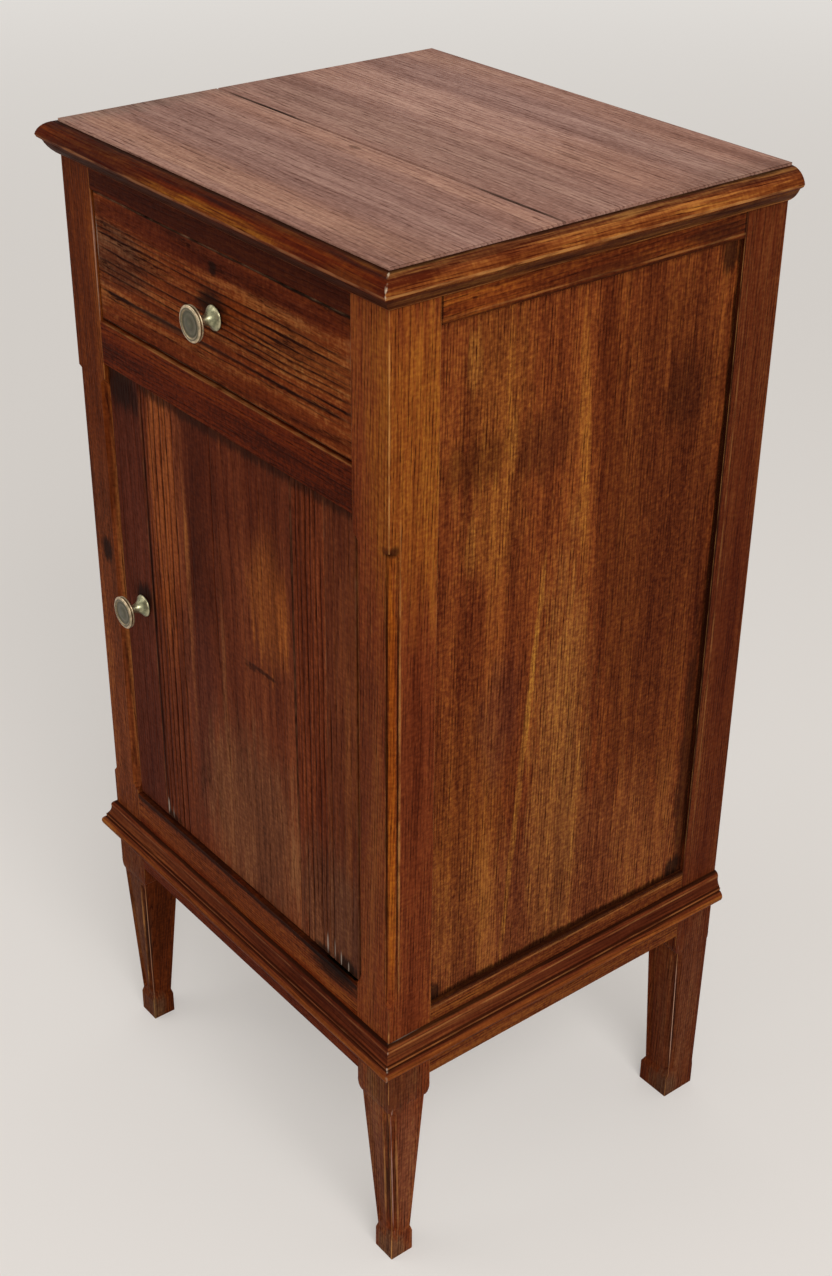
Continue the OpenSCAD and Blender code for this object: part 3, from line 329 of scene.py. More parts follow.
post_oak_rear = oak(
    "stained_oak_rear_post", "Z", (600, 600, 0), ring=2.0, tones=("#431709", "#5a2711", "#6f3b1c"),
    contrast=0.8,
    tints=[
        ((188, 145, 8), (16, 16, 20), "#5e4632", 0.6),
        ((186, 158, 100), (20, 20, 110), "#6a3c24", 0.6)],
    marks=[
        ((side_x, 139.3, 520), (40, 1.3, 320), "#1a0904", 0.85),
        # The flute: painted shade in its hollow and a painted highlight on its lit side
        ((189, 148.0, flute_z), (1.6, 1.8, 60), "#26130b", 0.8, rear_lean),
        ((190.2, 145, flute_z), (1.3, 1.3, 66), "#c49f90", 0.7, rear_lean)],
    wear_and_glints=[
        ((side_x, 145.6, 515), (2, 0.9, 290), 0.2), ((side_x, 177.75, 515), (1.2, 1.2, 290), 0.2)])
eased("post_front_right", "front_right_post", post_oak_right, "case", rubbed_and_glinting=0.55)
eased("post_front_left", "front_left_post", post_oak_left, "case", rubbed_and_glinting=0.4)
eased("post_rear_right", "rear_right_post", post_oak_rear, "case", rubbed_and_glinting=0.35)
eased("post_rear_left", "rear_left_post", post_oak_rear, "case", rubbed_and_glinting=0.35)

# Rails of the front. Three flat rails of the same stained oak, tenoned between the posts; the
# grain runs across.
past_ends = 400  # a radius that reaches past both ends of a rail
rail_oak = oak(
    "stained_oak_front_rail", "X", (0, -800, 1300), ring=2.2,
    tones=("#361106", "#591f09", "#71300e"), contrast=0.9,
    tints=[
        ((0, -159, 250), (past_ends, 40, 16), "#703618", 0.7),
        # Painted shade on the top rail, under the top moulding
        ((0, -159, 787), (past_ends, 40, 12), "#300f06", 0.85)],
    marks=[
        # Painted shade along the top of the bottom rail, under the door
        ((0, -157, 260), (past_ends, 40, 2.6), "#1c0a05", 0.8),
        ((124, -157, 257), (34, 40, 11), "#0e0705", 0.85)],
    wear_and_glints=[
        ((0, -159.2, 680.7), (past_ends, 3, 0.8), 0.35)])
finish_with(rail_oak, "front_top_rail", "drawer_rail", "front_bottom_rail")

# Rails of the sides, of the same oak, tenoned between the posts and grooved for the panels, with
# the grain along the depth. They darken towards the top, and grime and painted shade sit dark
# along the panels; the pale lines along their arrises carry painted glints.
everywhere = 3000  # a radius that reaches far past any piece


def bands(reach, rows):
    """Level bands for tints, marks or wear, each (height, half width, and the rest of its row).
    reach is how far they go along and across the wood."""
    return [((0, 0, z), (reach, reach, half), *rest) for z, half, *rest in rows]


side_rail_oak = oak(
    "stained_oak_side_rail", "Y", (800, 0, 1300), ring=2.2, tones=("#3a1308", "#5f2c14", "#7e461c"),
    tints=bands(everywhere, [
        (795, 40, "#5c270f", 0.9)]) + [
        ((side_x, -90, 786), (10, 46, 9), "#7e3c16", 0.6)],
    # Dark bands along the bottom and top edges of the panels: grime and painted shade
    marks=bands(past_ends, [
        (249.5, 4.2, "#220d06", 0.85), (776.6, 1.4, "#220d06", 0.75)]) + [
        ((side_x, 112, 785), (6, 30, 7), "#2a1109", 0.6),
        ((side_x, 20, 781), (6, 44, 5), "#33150a", 0.5),
        ((side_x, -119.6, 786), (3, 1.1, 14), "#1a0904", 0.8),
        ((side_x, 138.2, 786), (3, 1.1, 14), "#1a0904", 0.8)],
    wear_and_glints=[
        ((side_x, 0, 245.2), (3, past_ends, 0.8), 0.3),
        ((side_x, 0, 779), (3, past_ends, 0.8), 0.25)])
finish_with(side_rail_oak, "left_top_rail", "right_top_rail", "left_bottom_rail",
            "right_bottom_rail")

# Side panels. Thin boards of oak, loose in the grooves of their frame, flat-sawn, with amber and
# dark streaks where the stain took unevenly.
panel_x = 187  # just under the outer face of the right-hand panel


def on_face(axis, plane, through, rows):
    """Tints or marks on a flat face. The face lies square to an axis, at a plane, and they go
    through it to a depth. Each row has two places and two radii along the other axes, and the
    rest of its row."""
    at = "XYZ".index(axis)
    placed = []
    for first, second, first_radius, second_radius, *rest in rows:
        centre, radii = [first, second], [first_radius, second_radius]
        centre.insert(at, plane)
        radii.insert(at, through)
        placed.append((centre, radii, *rest))
    return placed


panel_oak = oak(
    "stained_oak_side_panel", "Z", (panel_x, 800, 0), tones=("#481a0b", "#703517", "#925021"),
    ring=2.6, blotch=(26, 420), curl=0.9, relief=0.15, contrast=0.8, pore=(11, 0.8, 0.7),
    tints=on_face("X", panel_x, 60, [
        (10, 296, 220, 90, "#743f22", 0.6), (-71, 690, 32, 120, "#844a1e", 0.6),
        (36, 610, 17, 230, "#4c1c0a", 0.7, (4.5, 0)), (88, 560, 66, 300, "#5a2911", 0.8),
        (-30, 672, 30, 28, "#4c2210", 0.6), (-88, 674, 34, 22, "#52280f", 0.6),
        (97, 675, 22, 34, "#3e1a0b", 0.6), (-2, 396, 31, 200, "#875026", 0.75),
        (6, 350, 9, 120, "#582c18", 0.5), (-89, 380, 40, 130, "#754018", 0.4),
        (-62, 470, 22, 60, "#55281a", 0.6, (-4.75, 0)),
        (-38, 424, 3.0, 190, "#9c6228", 0.7, (-4.75, 0)),
        (7, 650, 5.0, 120, "#8c4f20", 0.6, (3.4, 0)), (-90, 745, 7, 24, "#9c6028", 0.8),
        (-90.5, 617, 5, 24, "#985c26", 0.75), (-56.5, 678, 3.5, 26, "#985c26", 0.8),
        (74, 310, 26, 80, "#784020", 0.5)]),
    # Painted shade: a band beside the rear post that widens towards the bottom, a band under the
    # top rail and the dark corners; the band along the bottom is painted shade with grime in it,
    # and the long thin lines are the joints with the posts
    marks=on_face("X", panel_x, 60, [
        (138.5, 515, 2.0, 330, "#180803", 0.85), (133, 360, 8, 140, "#240e06", 0.7),
        (131, 766, 10, 14, "#160a07", 0.75), (8, 250, 190, 5, "#1a0904", 0.85),
        (130, 256, 12, 14, "#140a07", 0.85), (-116, 256, 9, 10, "#140a07", 0.8),
        (8, 777.5, 190, 2.4, "#240e06", 0.7), (-119.5, 515, 1.4, 330, "#2a1006", 0.5)]))
finish_with(panel_oak, "left_side_panel", "right_side_panel")

# Back, cupboard floor and drawer gear. Plain oak that was never stained, gone dull with age; the
# boards are tongued together and the runners are screwed to the posts.
aged = dict(
    tones=("#6b4e31", "#8a6b48", "#a4865c"), groove="#4c3420", contrast=0.7, relief=0.15, rough=0.6,
    ring=4.0, gloss=0.2)
plain_oak_up = oak("aged_plain_oak_upright", "Z", (40, 400, 0), **aged)
plain_oak_across = oak("aged_plain_oak_across", "X", (0, 60, 320), **aged)
plain_oak_deep = oak("aged_plain_oak_deep", "Y", (60, 0, 520), **aged)
finish_with(plain_oak_up, "back_board_left", "back_board_middle", "back_board_right")
finish_with(plain_oak_across, "back_top_rail", "back_bottom_rail", "bottom_board", "dust_board",
            "drawer_stops")
finish_with(plain_oak_deep, "left_bottom_bearer", "right_bottom_bearer", "left_drawer_runner",
            "right_drawer_runner", "left_drawer_guide", "right_drawer_guide", "left_drawer_kicker",
            "right_drawer_kicker")
finish_with(post_oak_left, "door_stop_strip")

# Low mouldings, run with planes, mitred at the front corners and glued to posts and rails.
# Wax sits dark in the quirks, with shade painted there too, the fillet, the roll and the torus
# are rubbed, with glints of light painted on them, and highlights are painted on the mitre.
plinth_lines = dict(
    ring=2.2, tones=("#471a0b", "#652e16", "#854a24"), relief=0.2, curl=0.1, pore=(24, 0.8, 0.5),
    tints=bands(everywhere, [
        (211.5, 3.0, "#8a4a1c", 0.6), (224, 3.5, "#4a2010", 0.6), (205.5, 3.4, "#48291a", 0.7)]),
    # Dark lines in the quirks: wax and painted shade
    marks=bands(everywhere, [
        (233, 1.6, "#1c0a04", 0.85), (219.5, 0.9, "#2a0f06", 0.8), (216.3, 1.0, "#2a0f06", 0.8),
        (206, 1.6, "#2c1208", 0.75)]) + [
        # Painted highlights: a pale line along the top near the front, and spots on the mitre
        ((side_x, -148, 233.6), (3, 20, 0.8), "#a89888", 0.45),
        ((196, -164, 229), (1.8, 1.8, 2.6), "#c0b0a0", 0.7),
        ((199, -167, 218), (1.6, 1.6, 2.4), "#c0b0a0", 0.6),
        ((201, -169, 211), (1.0, 1.0, 3), "#a08c78", 0.5)],
    wear_and_glints=bands(everywhere, [
        (228.6, 0.8, 0.35), (217.9, 0.8, 0.3)]))
plinth_oak_front = oak("stained_oak_low_moulding_front", "X", (0, -300, 150),
                       **(plinth_lines | dict(worn_and_glinting="#94603a")))
plinth_oak_side = oak("stained_oak_low_moulding_side", "Y", (300, 0, 150), **plinth_lines)
finish_with(plinth_oak_front, "plinth_moulding_front")
finish_with(plinth_oak_side, "plinth_moulding_left", "plinth_moulding_right")

# Top. Two boards of oak that lie on the posts and rails, with an open joint between them. Light
# has faded them, and their pale pinkish grey brown also holds a painted sheen, the pale
# surroundings reflected in their face; their arrises carry painted glints.
top_z = 820
top_oak = oak(
    "faded_oak_top_with_painted_sheen", "X", (0, -1100, 0), ring=3.2, tones=("#80594c", "#9c7364", "#b38a78"),
    groove="#50322a", blotch=(16, 300), line_share=0.5, pore=(11, 0.7, 0.7), relief=0.15, rough=0.4,
    contrast=0.8, worn_and_glinting="#a07c6c",
    tints=on_face("Z", top_z, 40, [
        (0, 160, 300, 18, "#ab7c66", 0.3), (0, 123, 300, 22, "#8a6c64", 0.3),
        (0, 76, 300, 30, "#aa7a62", 0.3), (0, 11, 300, 34, "#8c6c60", 0.3),
        (0, -37, 300, 11, "#ab7c66", 0.4), (0, -87, 300, 38, "#866862", 0.3),
        (0, -137, 300, 17, "#a8785c", 0.35), (-60, 100, 150, 70, "#b48c80", 0.4),
        (203, 130, 36, 90, "#7c5a4c", 0.5), (-200, -100, 30, 110, "#806a5c", 0.5),
        (170, -140, 60, 40, "#8a6454", 0.4)]),
    marks=on_face("Z", top_z, 9, [
        (94, 68, 10, 4, "#6a4536", 0.5), (-8.5, -34.8, 6, 3, "#5a382a", 0.6),
        (0, -24.75, 240, 0.8, "#5a3c32", 0.5), (-130, -24.75, 75, 0.9, "#1a0e09", 0.95),
        (150, -24.75, 50, 0.8, "#1a0e09", 0.9)]))
eased("top_board_front", "top_front_board", top_oak, "case", rubbed_and_glinting=0.15, width=0.5,
      sharp=40)
eased("top_board_rear", "top_rear_board", top_oak, "case", rubbed_and_glinting=0.15, width=0.5,
      sharp=40)

# Top mouldings, run with planes and mitred round the edge of the top boards, two millimetres
# below their face. The front one has gone darker than those at the sides.
mitre_lean = (-38.3, -52.2)
crown_lines = dict(
    ring=2.2, tones=("#4c1c0b", "#7c401d", "#a66830"), relief=0.2, curl=0.2, groove="#3a0f06",
    blotch=(4, 60), contrast=1.15, pore=(14, 0.9, 0.8),
    tints=bands(everywhere, [
        (817.5, 2.6, "#52301a", 0.6), (810, 3.0, "#7c4218", 0.5)]),
    # The broad dark band under the nose, at 800, is painted shade
    marks=bands(everywhere, [
        (818.4, 0.9, "#1c0d05", 0.85), (800, 5.0, "#2c180e", 0.7),
        (793.6, 0.9, "#140804", 0.7)]) + [
        # Painted highlights on the mitre and at the corner of the nose
        ((198.1, -166.3, 814.4), (0.9, 0.9, 11), "#c8b49a", 0.7, mitre_lean),
        ((203.4, -171.6, 805.5), (0.9, 0.9, 5), "#c8b49a", 0.7)],
    # Pale bands at the nose and at the foot, with glints of light painted on them
    wear_and_glints=bands(everywhere, [
        (807.2, 1.2, 0.7), (795.3, 0.7, 0.45)]))
crown_oak_front = oak("stained_oak_top_moulding_front", "X", (0, -300, 700), **(crown_lines | dict(
    tones=("#331008", "#561e09", "#73340f"), contrast=0.9, worn_and_glinting="#94603c",
    tints=bands(everywhere, [
        (817.5, 2.6, "#40200f", 0.6)]) + [
        ((-125, 0, 808), (90, everywhere, 12), "#3c1c0e", 0.6),
        ((20, 0, 810), (80, everywhere, 3.5), "#7a4216", 0.6),
        ((170, 0, 810), (30, everywhere, 3.5), "#743c14", 0.5)])))
crown_oak_side = oak("stained_oak_top_moulding_side", "Y", (300, 0, 700), **crown_lines)
finish_with(crown_oak_front, "top_moulding_front")
finish_with(crown_oak_side, "top_moulding_left", "top_moulding_right")

# Drawer front. One board of the same oak, dovetailed to the sides. The soft wood between the
# growth rings has shrunk and been scrubbed away, so that the grain stands in ridges.


def weathered(name, node, low, high, along, grooves, material, body):
    """A board with its face towards the front, which stands for a solid. low and high are its
    corners, and grooves are (place across the grain, width, depth, from, to)."""
    arris = 0.9
    across_step, along_step = 0.55, 7  # the mesh is fine across the grain only
    dark_depth = 0.55  # grooves from this depth on are quite dark
    run_out = 25  # a groove fades away over this length at its ends

    def stations(start, end, step):
        """Places along a side of the face, closest together within an arris of its ends."""
        soft = [0, 0.12, 0.3, 0.6, 1.0]
        run = end - start - 2 * arris
        count = max(1, round(run / step))
        return ([start + s * arris for s in soft]
                + [start + arris + run * i / count for i in range(1, count)]
                + [end - s * arris for s in reversed(soft)])

    upright = along == "Z"
    xs = stations(low[0], high[0], across_step if upright else along_step)
    zs = stations(low[2], high[2], along_step if upright else across_step)
    shape = bmesh.new()
    bmesh.ops.create_grid(shape, x_segments=len(xs) - 1, y_segments=len(zs) - 1, size=0.5)
    groove_share = shape.verts.layers.float.new("groove")
    worn_and_glinting_share = shape.verts.layers.float.new("worn_and_glinting")
    for v in shape.verts:
        x = xs[round((v.co.x + 0.5) * (len(xs) - 1))]
        z = zs[round((v.co.y + 0.5) * (len(zs) - 1))]
        u, t = (x, z) if upright else (z, x)
        # Grooves stray to either side, and grow deeper and shallower on their way
        wander = (noise.noise(Vector((u / 19, t / 90, low[0]))) * 1.6
                  + noise.noise(Vector((u / 5, t / 34, 3.0))) * 0.5)
        sunk = 0.0
        for centre, width, depth, begin, end in grooves:
            across = abs(u + wander - centre) / (width / 2)
            if across < 1:
                ends = min(1, max(0, (t - begin) / run_out), max(0, (end - t) / run_out))
                lively = 0.75 + 0.5 * noise.noise(Vector((centre, t / 22, 8.0)))
                sunk = max(sunk, depth * ends * lively * (1 - across * across) ** 1.5)
        edge = min(x - low[0], high[0] - x, z - low[2], high[2] - z)
        fall = arris - math.sqrt(max(0, arris * arris - (arris - edge) ** 2)) if edge < arris else 0
        uneven = 0.5 + noise.noise(Vector((x / 9, z / 9, 1.0)))
        v[groove_share] = min(1, sunk / dark_depth)
        # Pale along the arris, for wear and painted glints of light
        v[worn_and_glinting_share] = max(0, 1 - edge / (arris * 1.1)) * uneven
        v.co = Vector((x, low[1] + sunk + fall, z)) / metre
    # The edges: a narrow strip where the pale arris, with its painted glints, and the grooves run
    # out, and then the thickness
    for y in (low[1] + 3 * arris, high[1]):
        outline = [e for e in shape.edges if e.is_boundary]
        for v in bmesh.ops.extrude_edge_only(shape, edges=outline)["geom"]:
            if isinstance(v, bmesh.types.BMVert):
                v.co.y = y / metre
                v[groove_share] = v[worn_and_glinting_share] = 0
    bmesh.ops.holes_fill(shape, edges=[e for e in shape.edges if e.is_boundary], sides=0)
    bmesh.ops.recalc_face_normals(shape, faces=shape.faces)
    for face in shape.faces:
        face.smooth = abs(face.normal.y) > 0.3 and len(face.verts) == 4
    piece = piece_of(name, shape, material)
    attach(piece, body)
    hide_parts(node)


drawer_face, drawer_y = -157.75, -157  # the front of the board, and a plane just under it
drawer_oak = oak(
    "stained_oak_drawer_front", "X", (0, -330, 745), ring=4.0,
    tones=("#481806", "#6e3011", "#98592c"), groove="#220a04", blotch=(12, 300), contrast=0.75,
    line_share=0.55, relief=0.3, wander=4, worn_and_glinting="#a87c5c",
    tints=on_face("Y", drawer_y, 20, [
        (0, 689, 220, 9, "#60260c", 0.7), (0, 768, 220, 12, "#501c0a", 0.8),
        (-125, 735, 45, 26, "#4a2a1a", 0.6), (95, 736, 70, 20, "#8f4e22", 0.6)]),
    # The black lines along the top and bottom edges are painted shade in the gaps beside the rails
    marks=on_face("Y", drawer_y, 9, [
        (0.5, 764, 5, 6, "#1d0a04", 0.9), (-3, 736, 20, 14, "#1a0a05", 0.85),
        (-60, 706.5, 70, 3, "#2a1a12", 0.6), (0, 777.6, 300, 1.5, "#0c0503", 0.9),
        (105, 777.4, 60, 2.2, "#0c0503", 0.85), (0, 683, 300, 1.6, "#0c0503", 0.85),
        (-150, 742, 0.9, 18, "#a08c7c", 0.35)]))
weathered(
    "drawer_front_board", "drawer_front",
    (-151.45, drawer_face, 683), (151.45, -139.75, 777.6), "X", [
        (757, 2.2, 0.5, -160, -20), (753, 2.4, 0.6, -160, 20), (749, 2.2, 0.7, -160, 160),
        (743, 2.6, 0.85, -30, 160), (744.5, 2.0, 0.45, -160, -50), (737.5, 2.2, 0.7, -160, 160),
        (733, 1.8, 0.6, 0, 160), (729.5, 2.4, 0.8, -160, 160), (725, 1.8, 0.6, -160, 160),
        (720, 2.6, 0.85, -160, 160), (716, 1.8, 0.5, -160, 10), (713, 2.4, 0.75, 10, 160),
        (707, 3.4, 0.85, -160, 160), (703, 1.6, 0.5, -160, 160), (696, 1.4, 0.25, -160, 40),
        (690, 1.4, 0.25, -60, 160), (767, 1.6, 0.25, 20, 160), (771, 1.4, 0.2, -160, 0)],
    drawer_oak, "drawer")

# Drawer box. Thin sides, back and bottom of plain oak; the sides are lapped into the front and
# through the back with dovetails, and the bottom slides in grooves.
finish_with(plain_oak_deep, "drawer_left_side", "drawer_right_side")
finish_with(plain_oak_across, "drawer_back", "drawer_bottom")

# Door. Four upright boards of oak, tongued together, with the joints and the ridged grain
# plain to see, and held by two battens that are screwed on behind.
door_face, door_y = -156.25, -156  # the front of the boards, and a plane just under it
# Settings shared by the door's boards; the pale arris colour also stands in for painted glints of
# light
door_wear_and_glints = dict(contrast=0.7, relief=0.2, worn_and_glinting="#7c5036")
door_left_oak = oak(
    "stained_oak_door_left_board", "Z", (-330, -60, 0), ring=3.0,
    tones=("#371209", "#4d2012", "#663020"), line_share=0.3,
    marks=on_face("Y", door_y, 9, [
        # The dark patch at the top corner, beside the left post and under the rail, is a painted
        # shadow
        (-122, 463, 14, 13, "#150a07", 0.85), (-136, 636, 30, 24, "#180a06", 0.85)]),
    **door_wear_and_glints)
door_main_oak = oak(
    "stained_oak_door_main_board", "Z", (-40, -290, 0), ring=3.6,
    tones=("#3f180b", "#602b16", "#7f4223"), blotch=(26, 420), line_share=0.35,
    tints=on_face("Y", door_y, 20, [
        (-84, 560, 20, 150, "#8c4620", 0.5), (-38, 560, 22, 170, "#431809", 0.6),
        (48, 536, 24, 62, "#8a4a1e", 0.55), (65, 528, 11, 44, "#904c1e", 0.5),
        (-55, 480, 3.5, 110, "#8e5026", 0.6), (-12, 430, 3, 120, "#84502e", 0.5),
        (10, 610, 60, 50, "#4c1c0c", 0.6), (-45, 400, 24, 120, "#55271a", 0.6),
        (20, 330, 76, 90, "#6e4229", 0.7)]),
    marks=on_face("Y", door_y, 9, [
        (36, 474, 23, 2.2, "#1f0c06", 0.75), (24, 471, 9, 2.5, "#1f0c06", 0.6),
        (-102, 267, 12, 5, "#140b08", 0.8), (-108, 274, 0.9, 9, "#a8988a", 0.7),
        # The dark band along the top, at 646, is painted shade under the drawer rail
        (-101, 271, 0.9, 7, "#a8988a", 0.6), (0, 646, 300, 9, "#200d07", 0.7),
        (-108.6, 440, 1.1, 220, "#120806", 0.85), (79.4, 500, 0.9, 160, "#0f0705", 0.85)]),
    **door_wear_and_glints)
door_joint_oak = oak(
    "stained_oak_door_joint_board", "Z", (330, -60, 0), ring=3.0,
    tones=("#451909", "#692f17", "#914c28"), line_share=0.45,
    tints=on_face("Y", door_y, 20, [
        (108, 300, 40, 70, "#5e3a26", 0.6)]),
    marks=on_face("Y", door_y, 9, [
        (80.7, 500, 0.8, 160, "#0f0705", 0.8), (108, 266, 12, 5, "#120a07", 0.85),
        # The dark band along the top, at 646, is painted shade under the drawer rail
        (113, 274, 0.9, 10, "#a8988a", 0.6), (0, 646, 300, 9, "#200d07", 0.7)]),
    **door_wear_and_glints)
door_right_oak = oak(
    "stained_oak_door_right_board", "Z", (260, 40, 0), ring=3.0,
    tones=("#40170a", "#5a2915", "#783f20"), line_share=0.4,
    tints=on_face("Y", door_y, 20, [
        (141, 380, 5, 160, "#774020", 0.5), (130, 300, 40, 70, "#5c3a28", 0.6)]),
    marks=on_face("Y", door_y, 9, [
        (137, 267, 16, 9, "#120a07", 0.85), (122, 274, 0.9, 9, "#a8988a", 0.65),
        (130, 270, 0.8, 7, "#a8988a", 0.6), (139, 268, 0.8, 5, "#a8988a", 0.5),
        # The dark band along the top, at 646, is painted shade under the drawer rail
        (0, 646, 300, 9, "#200d07", 0.7)]),
    **door_wear_and_glints)
door_back, door_low, door_high = -138.25, 264.05, 645.9
weathered(
    "door_board_left", "door_left_board",
    (-151.5, door_face, door_low), (-110.65, door_back, door_high), "Z", [
        (-146, 1.6, 0.3, 400, 650), (-138, 1.4, 0.2, 260, 520), (-131, 1.6, 0.25, 300, 650),
        (-119, 1.8, 0.3, 260, 650)],
    door_left_oak, "door")
weathered(
    "door_board_main", "door_main_board",
    (-110.35, door_face, door_low), (79.85, door_back, door_high), "Z", [
        (-107, 2.6, 0.7, 240, 660), (-102.5, 2.2, 0.5, 240, 660), (-97, 2.6, 0.6, 240, 660),
        (-91.5, 2.4, 0.65, 240, 660), (-84.5, 3.0, 0.8, 240, 660), (-80.5, 1.6, 0.4, 420, 660),
        (-76.5, 2.6, 0.75, 240, 660), (-68, 3.0, 0.6, 300, 660), (-59, 1.6, 0.25, 420, 660),
        (-49, 1.6, 0.25, 260, 600), (-18, 2.4, 0.5, 450, 660), (-9.5, 1.2, 0.3, 240, 640),
        (4, 1.4, 0.2, 400, 660), (17, 1.4, 0.2, 300, 560), (31, 1.4, 0.25, 470, 660),
        (42, 1.6, 0.3, 480, 640), (53, 1.6, 0.25, 500, 660), (66, 1.6, 0.3, 300, 660)],
    door_main_oak, "door")
weathered(
    "door_board_joint", "door_joint_board",
    (80.15, door_face, door_low), (117.35, door_back, door_high), "Z", [
        (85.5, 2.2, 0.6, 380, 660), (90, 2.4, 0.6, 240, 660), (96.5, 2.8, 0.75, 240, 660),
        (102.5, 2.6, 0.6, 300, 660), (108, 2.6, 0.7, 240, 660), (113.5, 2.2, 0.7, 240, 620)],
    door_joint_oak, "door")
weathered(
    "door_board_right", "door_right_board",
    (117.65, door_face, door_low), (151.5, door_back, door_high), "Z", [
        (121.5, 2.2, 0.7, 240, 500), (128, 1.6, 0.3, 300, 660), (136, 1.4, 0.25, 240, 640),
        (145, 1.6, 0.3, 300, 660)],
    door_right_oak, "door")
finish_with(plain_oak_across, "door_top_batten", "door_bottom_batten")


# Knobs. Each is turned from brass: a flared foot, a slim neck, and a disc with ringed rim and a
# face that is turned slightly hollow. Highlights are painted on the rings, the neck and the foot's
# edge, where handling also keeps the brass bright, and the rest has gone dull.
def brass_with_painted_highlights(name, centre):
    """Brass with highlights painted on the rings, the neck and the foot's edge, and dark on the
    face. The centre is where the knob meets the wood."""
    knob_height, disc_radius = 20, 13
    made, tree = blank_material(name)
    place = add(tree, "TexCoord").outputs["Object"]
    mm = add(tree, "Mapping", {0: place, "Location": [-c for c in centre],
                               "Scale": (metre, metre, metre)})
    axes = add(tree, "SeparateXYZ", {0: mm.outputs[0]}).outputs
    out = add(tree, "Math", {0: axes[1], 1: -1 / knob_height}, operation="MULTIPLY").outputs[0]
    flat = add(tree, "CombineXYZ", {0: axes[0], 1: axes[2]}).outputs[0]
    radius = add(tree, "VectorMath", {0: flat}, operation="LENGTH").outputs["Value"]
    radius = add(tree, "Math", {0: radius, 1: 1 / disc_radius}, operation="MULTIPLY").outputs[0]
    cloud = add(tree, "TexNoise", {0: place, "Scale": 420, "Detail": 4}).outputs[0]
    # Along the knob: foot, neck, back of the disc, and the rings, with highlights painted on the
    # foot's edge, the neck and the rings, and darker bands between them
    along = add(tree, "ValToRGB", {0: out}, stops=[
        (0.0, "#4a4634"), (0.07, "#b9b18e"), (0.16, "#8f8e70"), (0.5, "#c4bd98"),
        (0.74, "#7d7658"), (0.83, "#e2c8a6"), (0.865, "#5f4f36"), (0.9, "#ead0b0"),
        (0.935, "#5d5238")]).outputs[0]
    # Over the face, from its middle to its rim, with a painted highlight on the rim
    face = add(tree, "ValToRGB", {0: radius}, stops=[
        (0.0, "#6a6452"), (0.3, "#4f4a3c"), (0.5, "#696252"), (0.66, "#474234"),
        (0.76, "#968468"), (0.82, "#4e4838"), (0.9, "#cdb696")]).outputs[0]
    fore = add(tree, "MapRange", {"Value": out, "From Min": 0.93, "From Max": 0.955}).outputs[0]
    colour = add(tree, "Mix", {0: fore, 6: along, 7: face}, data_type="RGBA").outputs[2]
    dull = add(tree, "MapRange", {"Value": cloud, "From Min": 0.42, "From Max": 0.62,
                                  "To Max": 0.55}).outputs[0]
    colour = add(tree, "Mix", {0: dull, 6: colour, 7: tone("#565742")},
                 data_type="RGBA").outputs[2]
    shine = add(tree, "Math", {0: cloud, 1: 0.3, 2: 0.2}, operation="MULTIPLY_ADD").outputs[0]
    bump = add(tree, "Bump", {"Strength": 0.4, "Distance": 0.1 / metre,
                              "Height": cloud}).outputs[0]
    shader = add(tree, "BsdfPrincipled", {"Base Color": colour, "Roughness": shine,
                                          "Metallic": 1.0, "Normal": bump})
    add(tree, "OutputMaterial", {0: shader.outputs[0]})
    return made


# The outline as (radius, height above the wood): foot, neck, back of the disc, rim, rings, face
knob_outline = [
    (0, 0), (8.6, 0), (8.95, 0.3), (9, 0.7), (8.8, 1.2), (8.1, 1.7), (6.9, 2.6), (5.6, 3.9),
    (4.5, 5.4), (3.8, 7.2), (3.45, 9.2), (3.35, 11.2), (3.4, 12.8), (3.7, 13.7), (4.6, 14.4),
    (6.5, 15.0), (9, 15.35), (11.3, 15.55), (12.1, 15.75), (12.55, 16.1), (12.75, 16.55),
    (12.6, 17.0), (12.25, 17.25), (12.2, 17.4), (12.55, 17.65), (12.85, 18.05), (12.95, 18.5),
    (12.8, 18.95), (12.4, 19.25), (11.9, 19.35), (11.6, 19.3), (11.35, 19.45), (11.0, 19.72),
    (10.55, 19.8), (10.1, 19.7), (9.8, 19.45), (9.5, 19.2), (8.8, 19.12), (8.2, 19.2),
    (7.9, 19.32), (7.6, 19.22), (6, 19.3), (4, 19.5), (2, 19.62), (0, 19.66)]


def turned_knob(name, node, centre, body):
    """A knob spun from its outline."""
    shape = bmesh.new()
    chain = [shape.verts.new((r / metre, -h / metre, 0)) for r, h in knob_outline]
    edges = [shape.edges.new(pair) for pair in zip(chain, chain[1:])]
    bmesh.ops.spin(shape, geom=chain + edges, cent=(0, 0, 0), axis=(0, 1, 0), angle=math.tau,
                   steps=112, use_merge=True)
    same_place = 1e-6  # in metres
    bmesh.ops.remove_doubles(shape, verts=shape.verts, dist=same_place)
    bmesh.ops.recalc_face_normals(shape, faces=shape.faces)
    bmesh.ops.translate(shape, verts=shape.verts, vec=Vector(centre) / metre)
    for face in shape.faces:
        face.smooth = True
    piece = piece_of(name, shape, brass_with_painted_highlights("brass_with_painted_highlights_" + name, centre))
    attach(piece, body)
    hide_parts(node)


turned_knob("knob_on_drawer", "drawer_knob", (0, drawer_face, 730.3), "drawer")
turned_knob("knob_on_door", "door_knob", (-124.5, door_face, 455), "door")


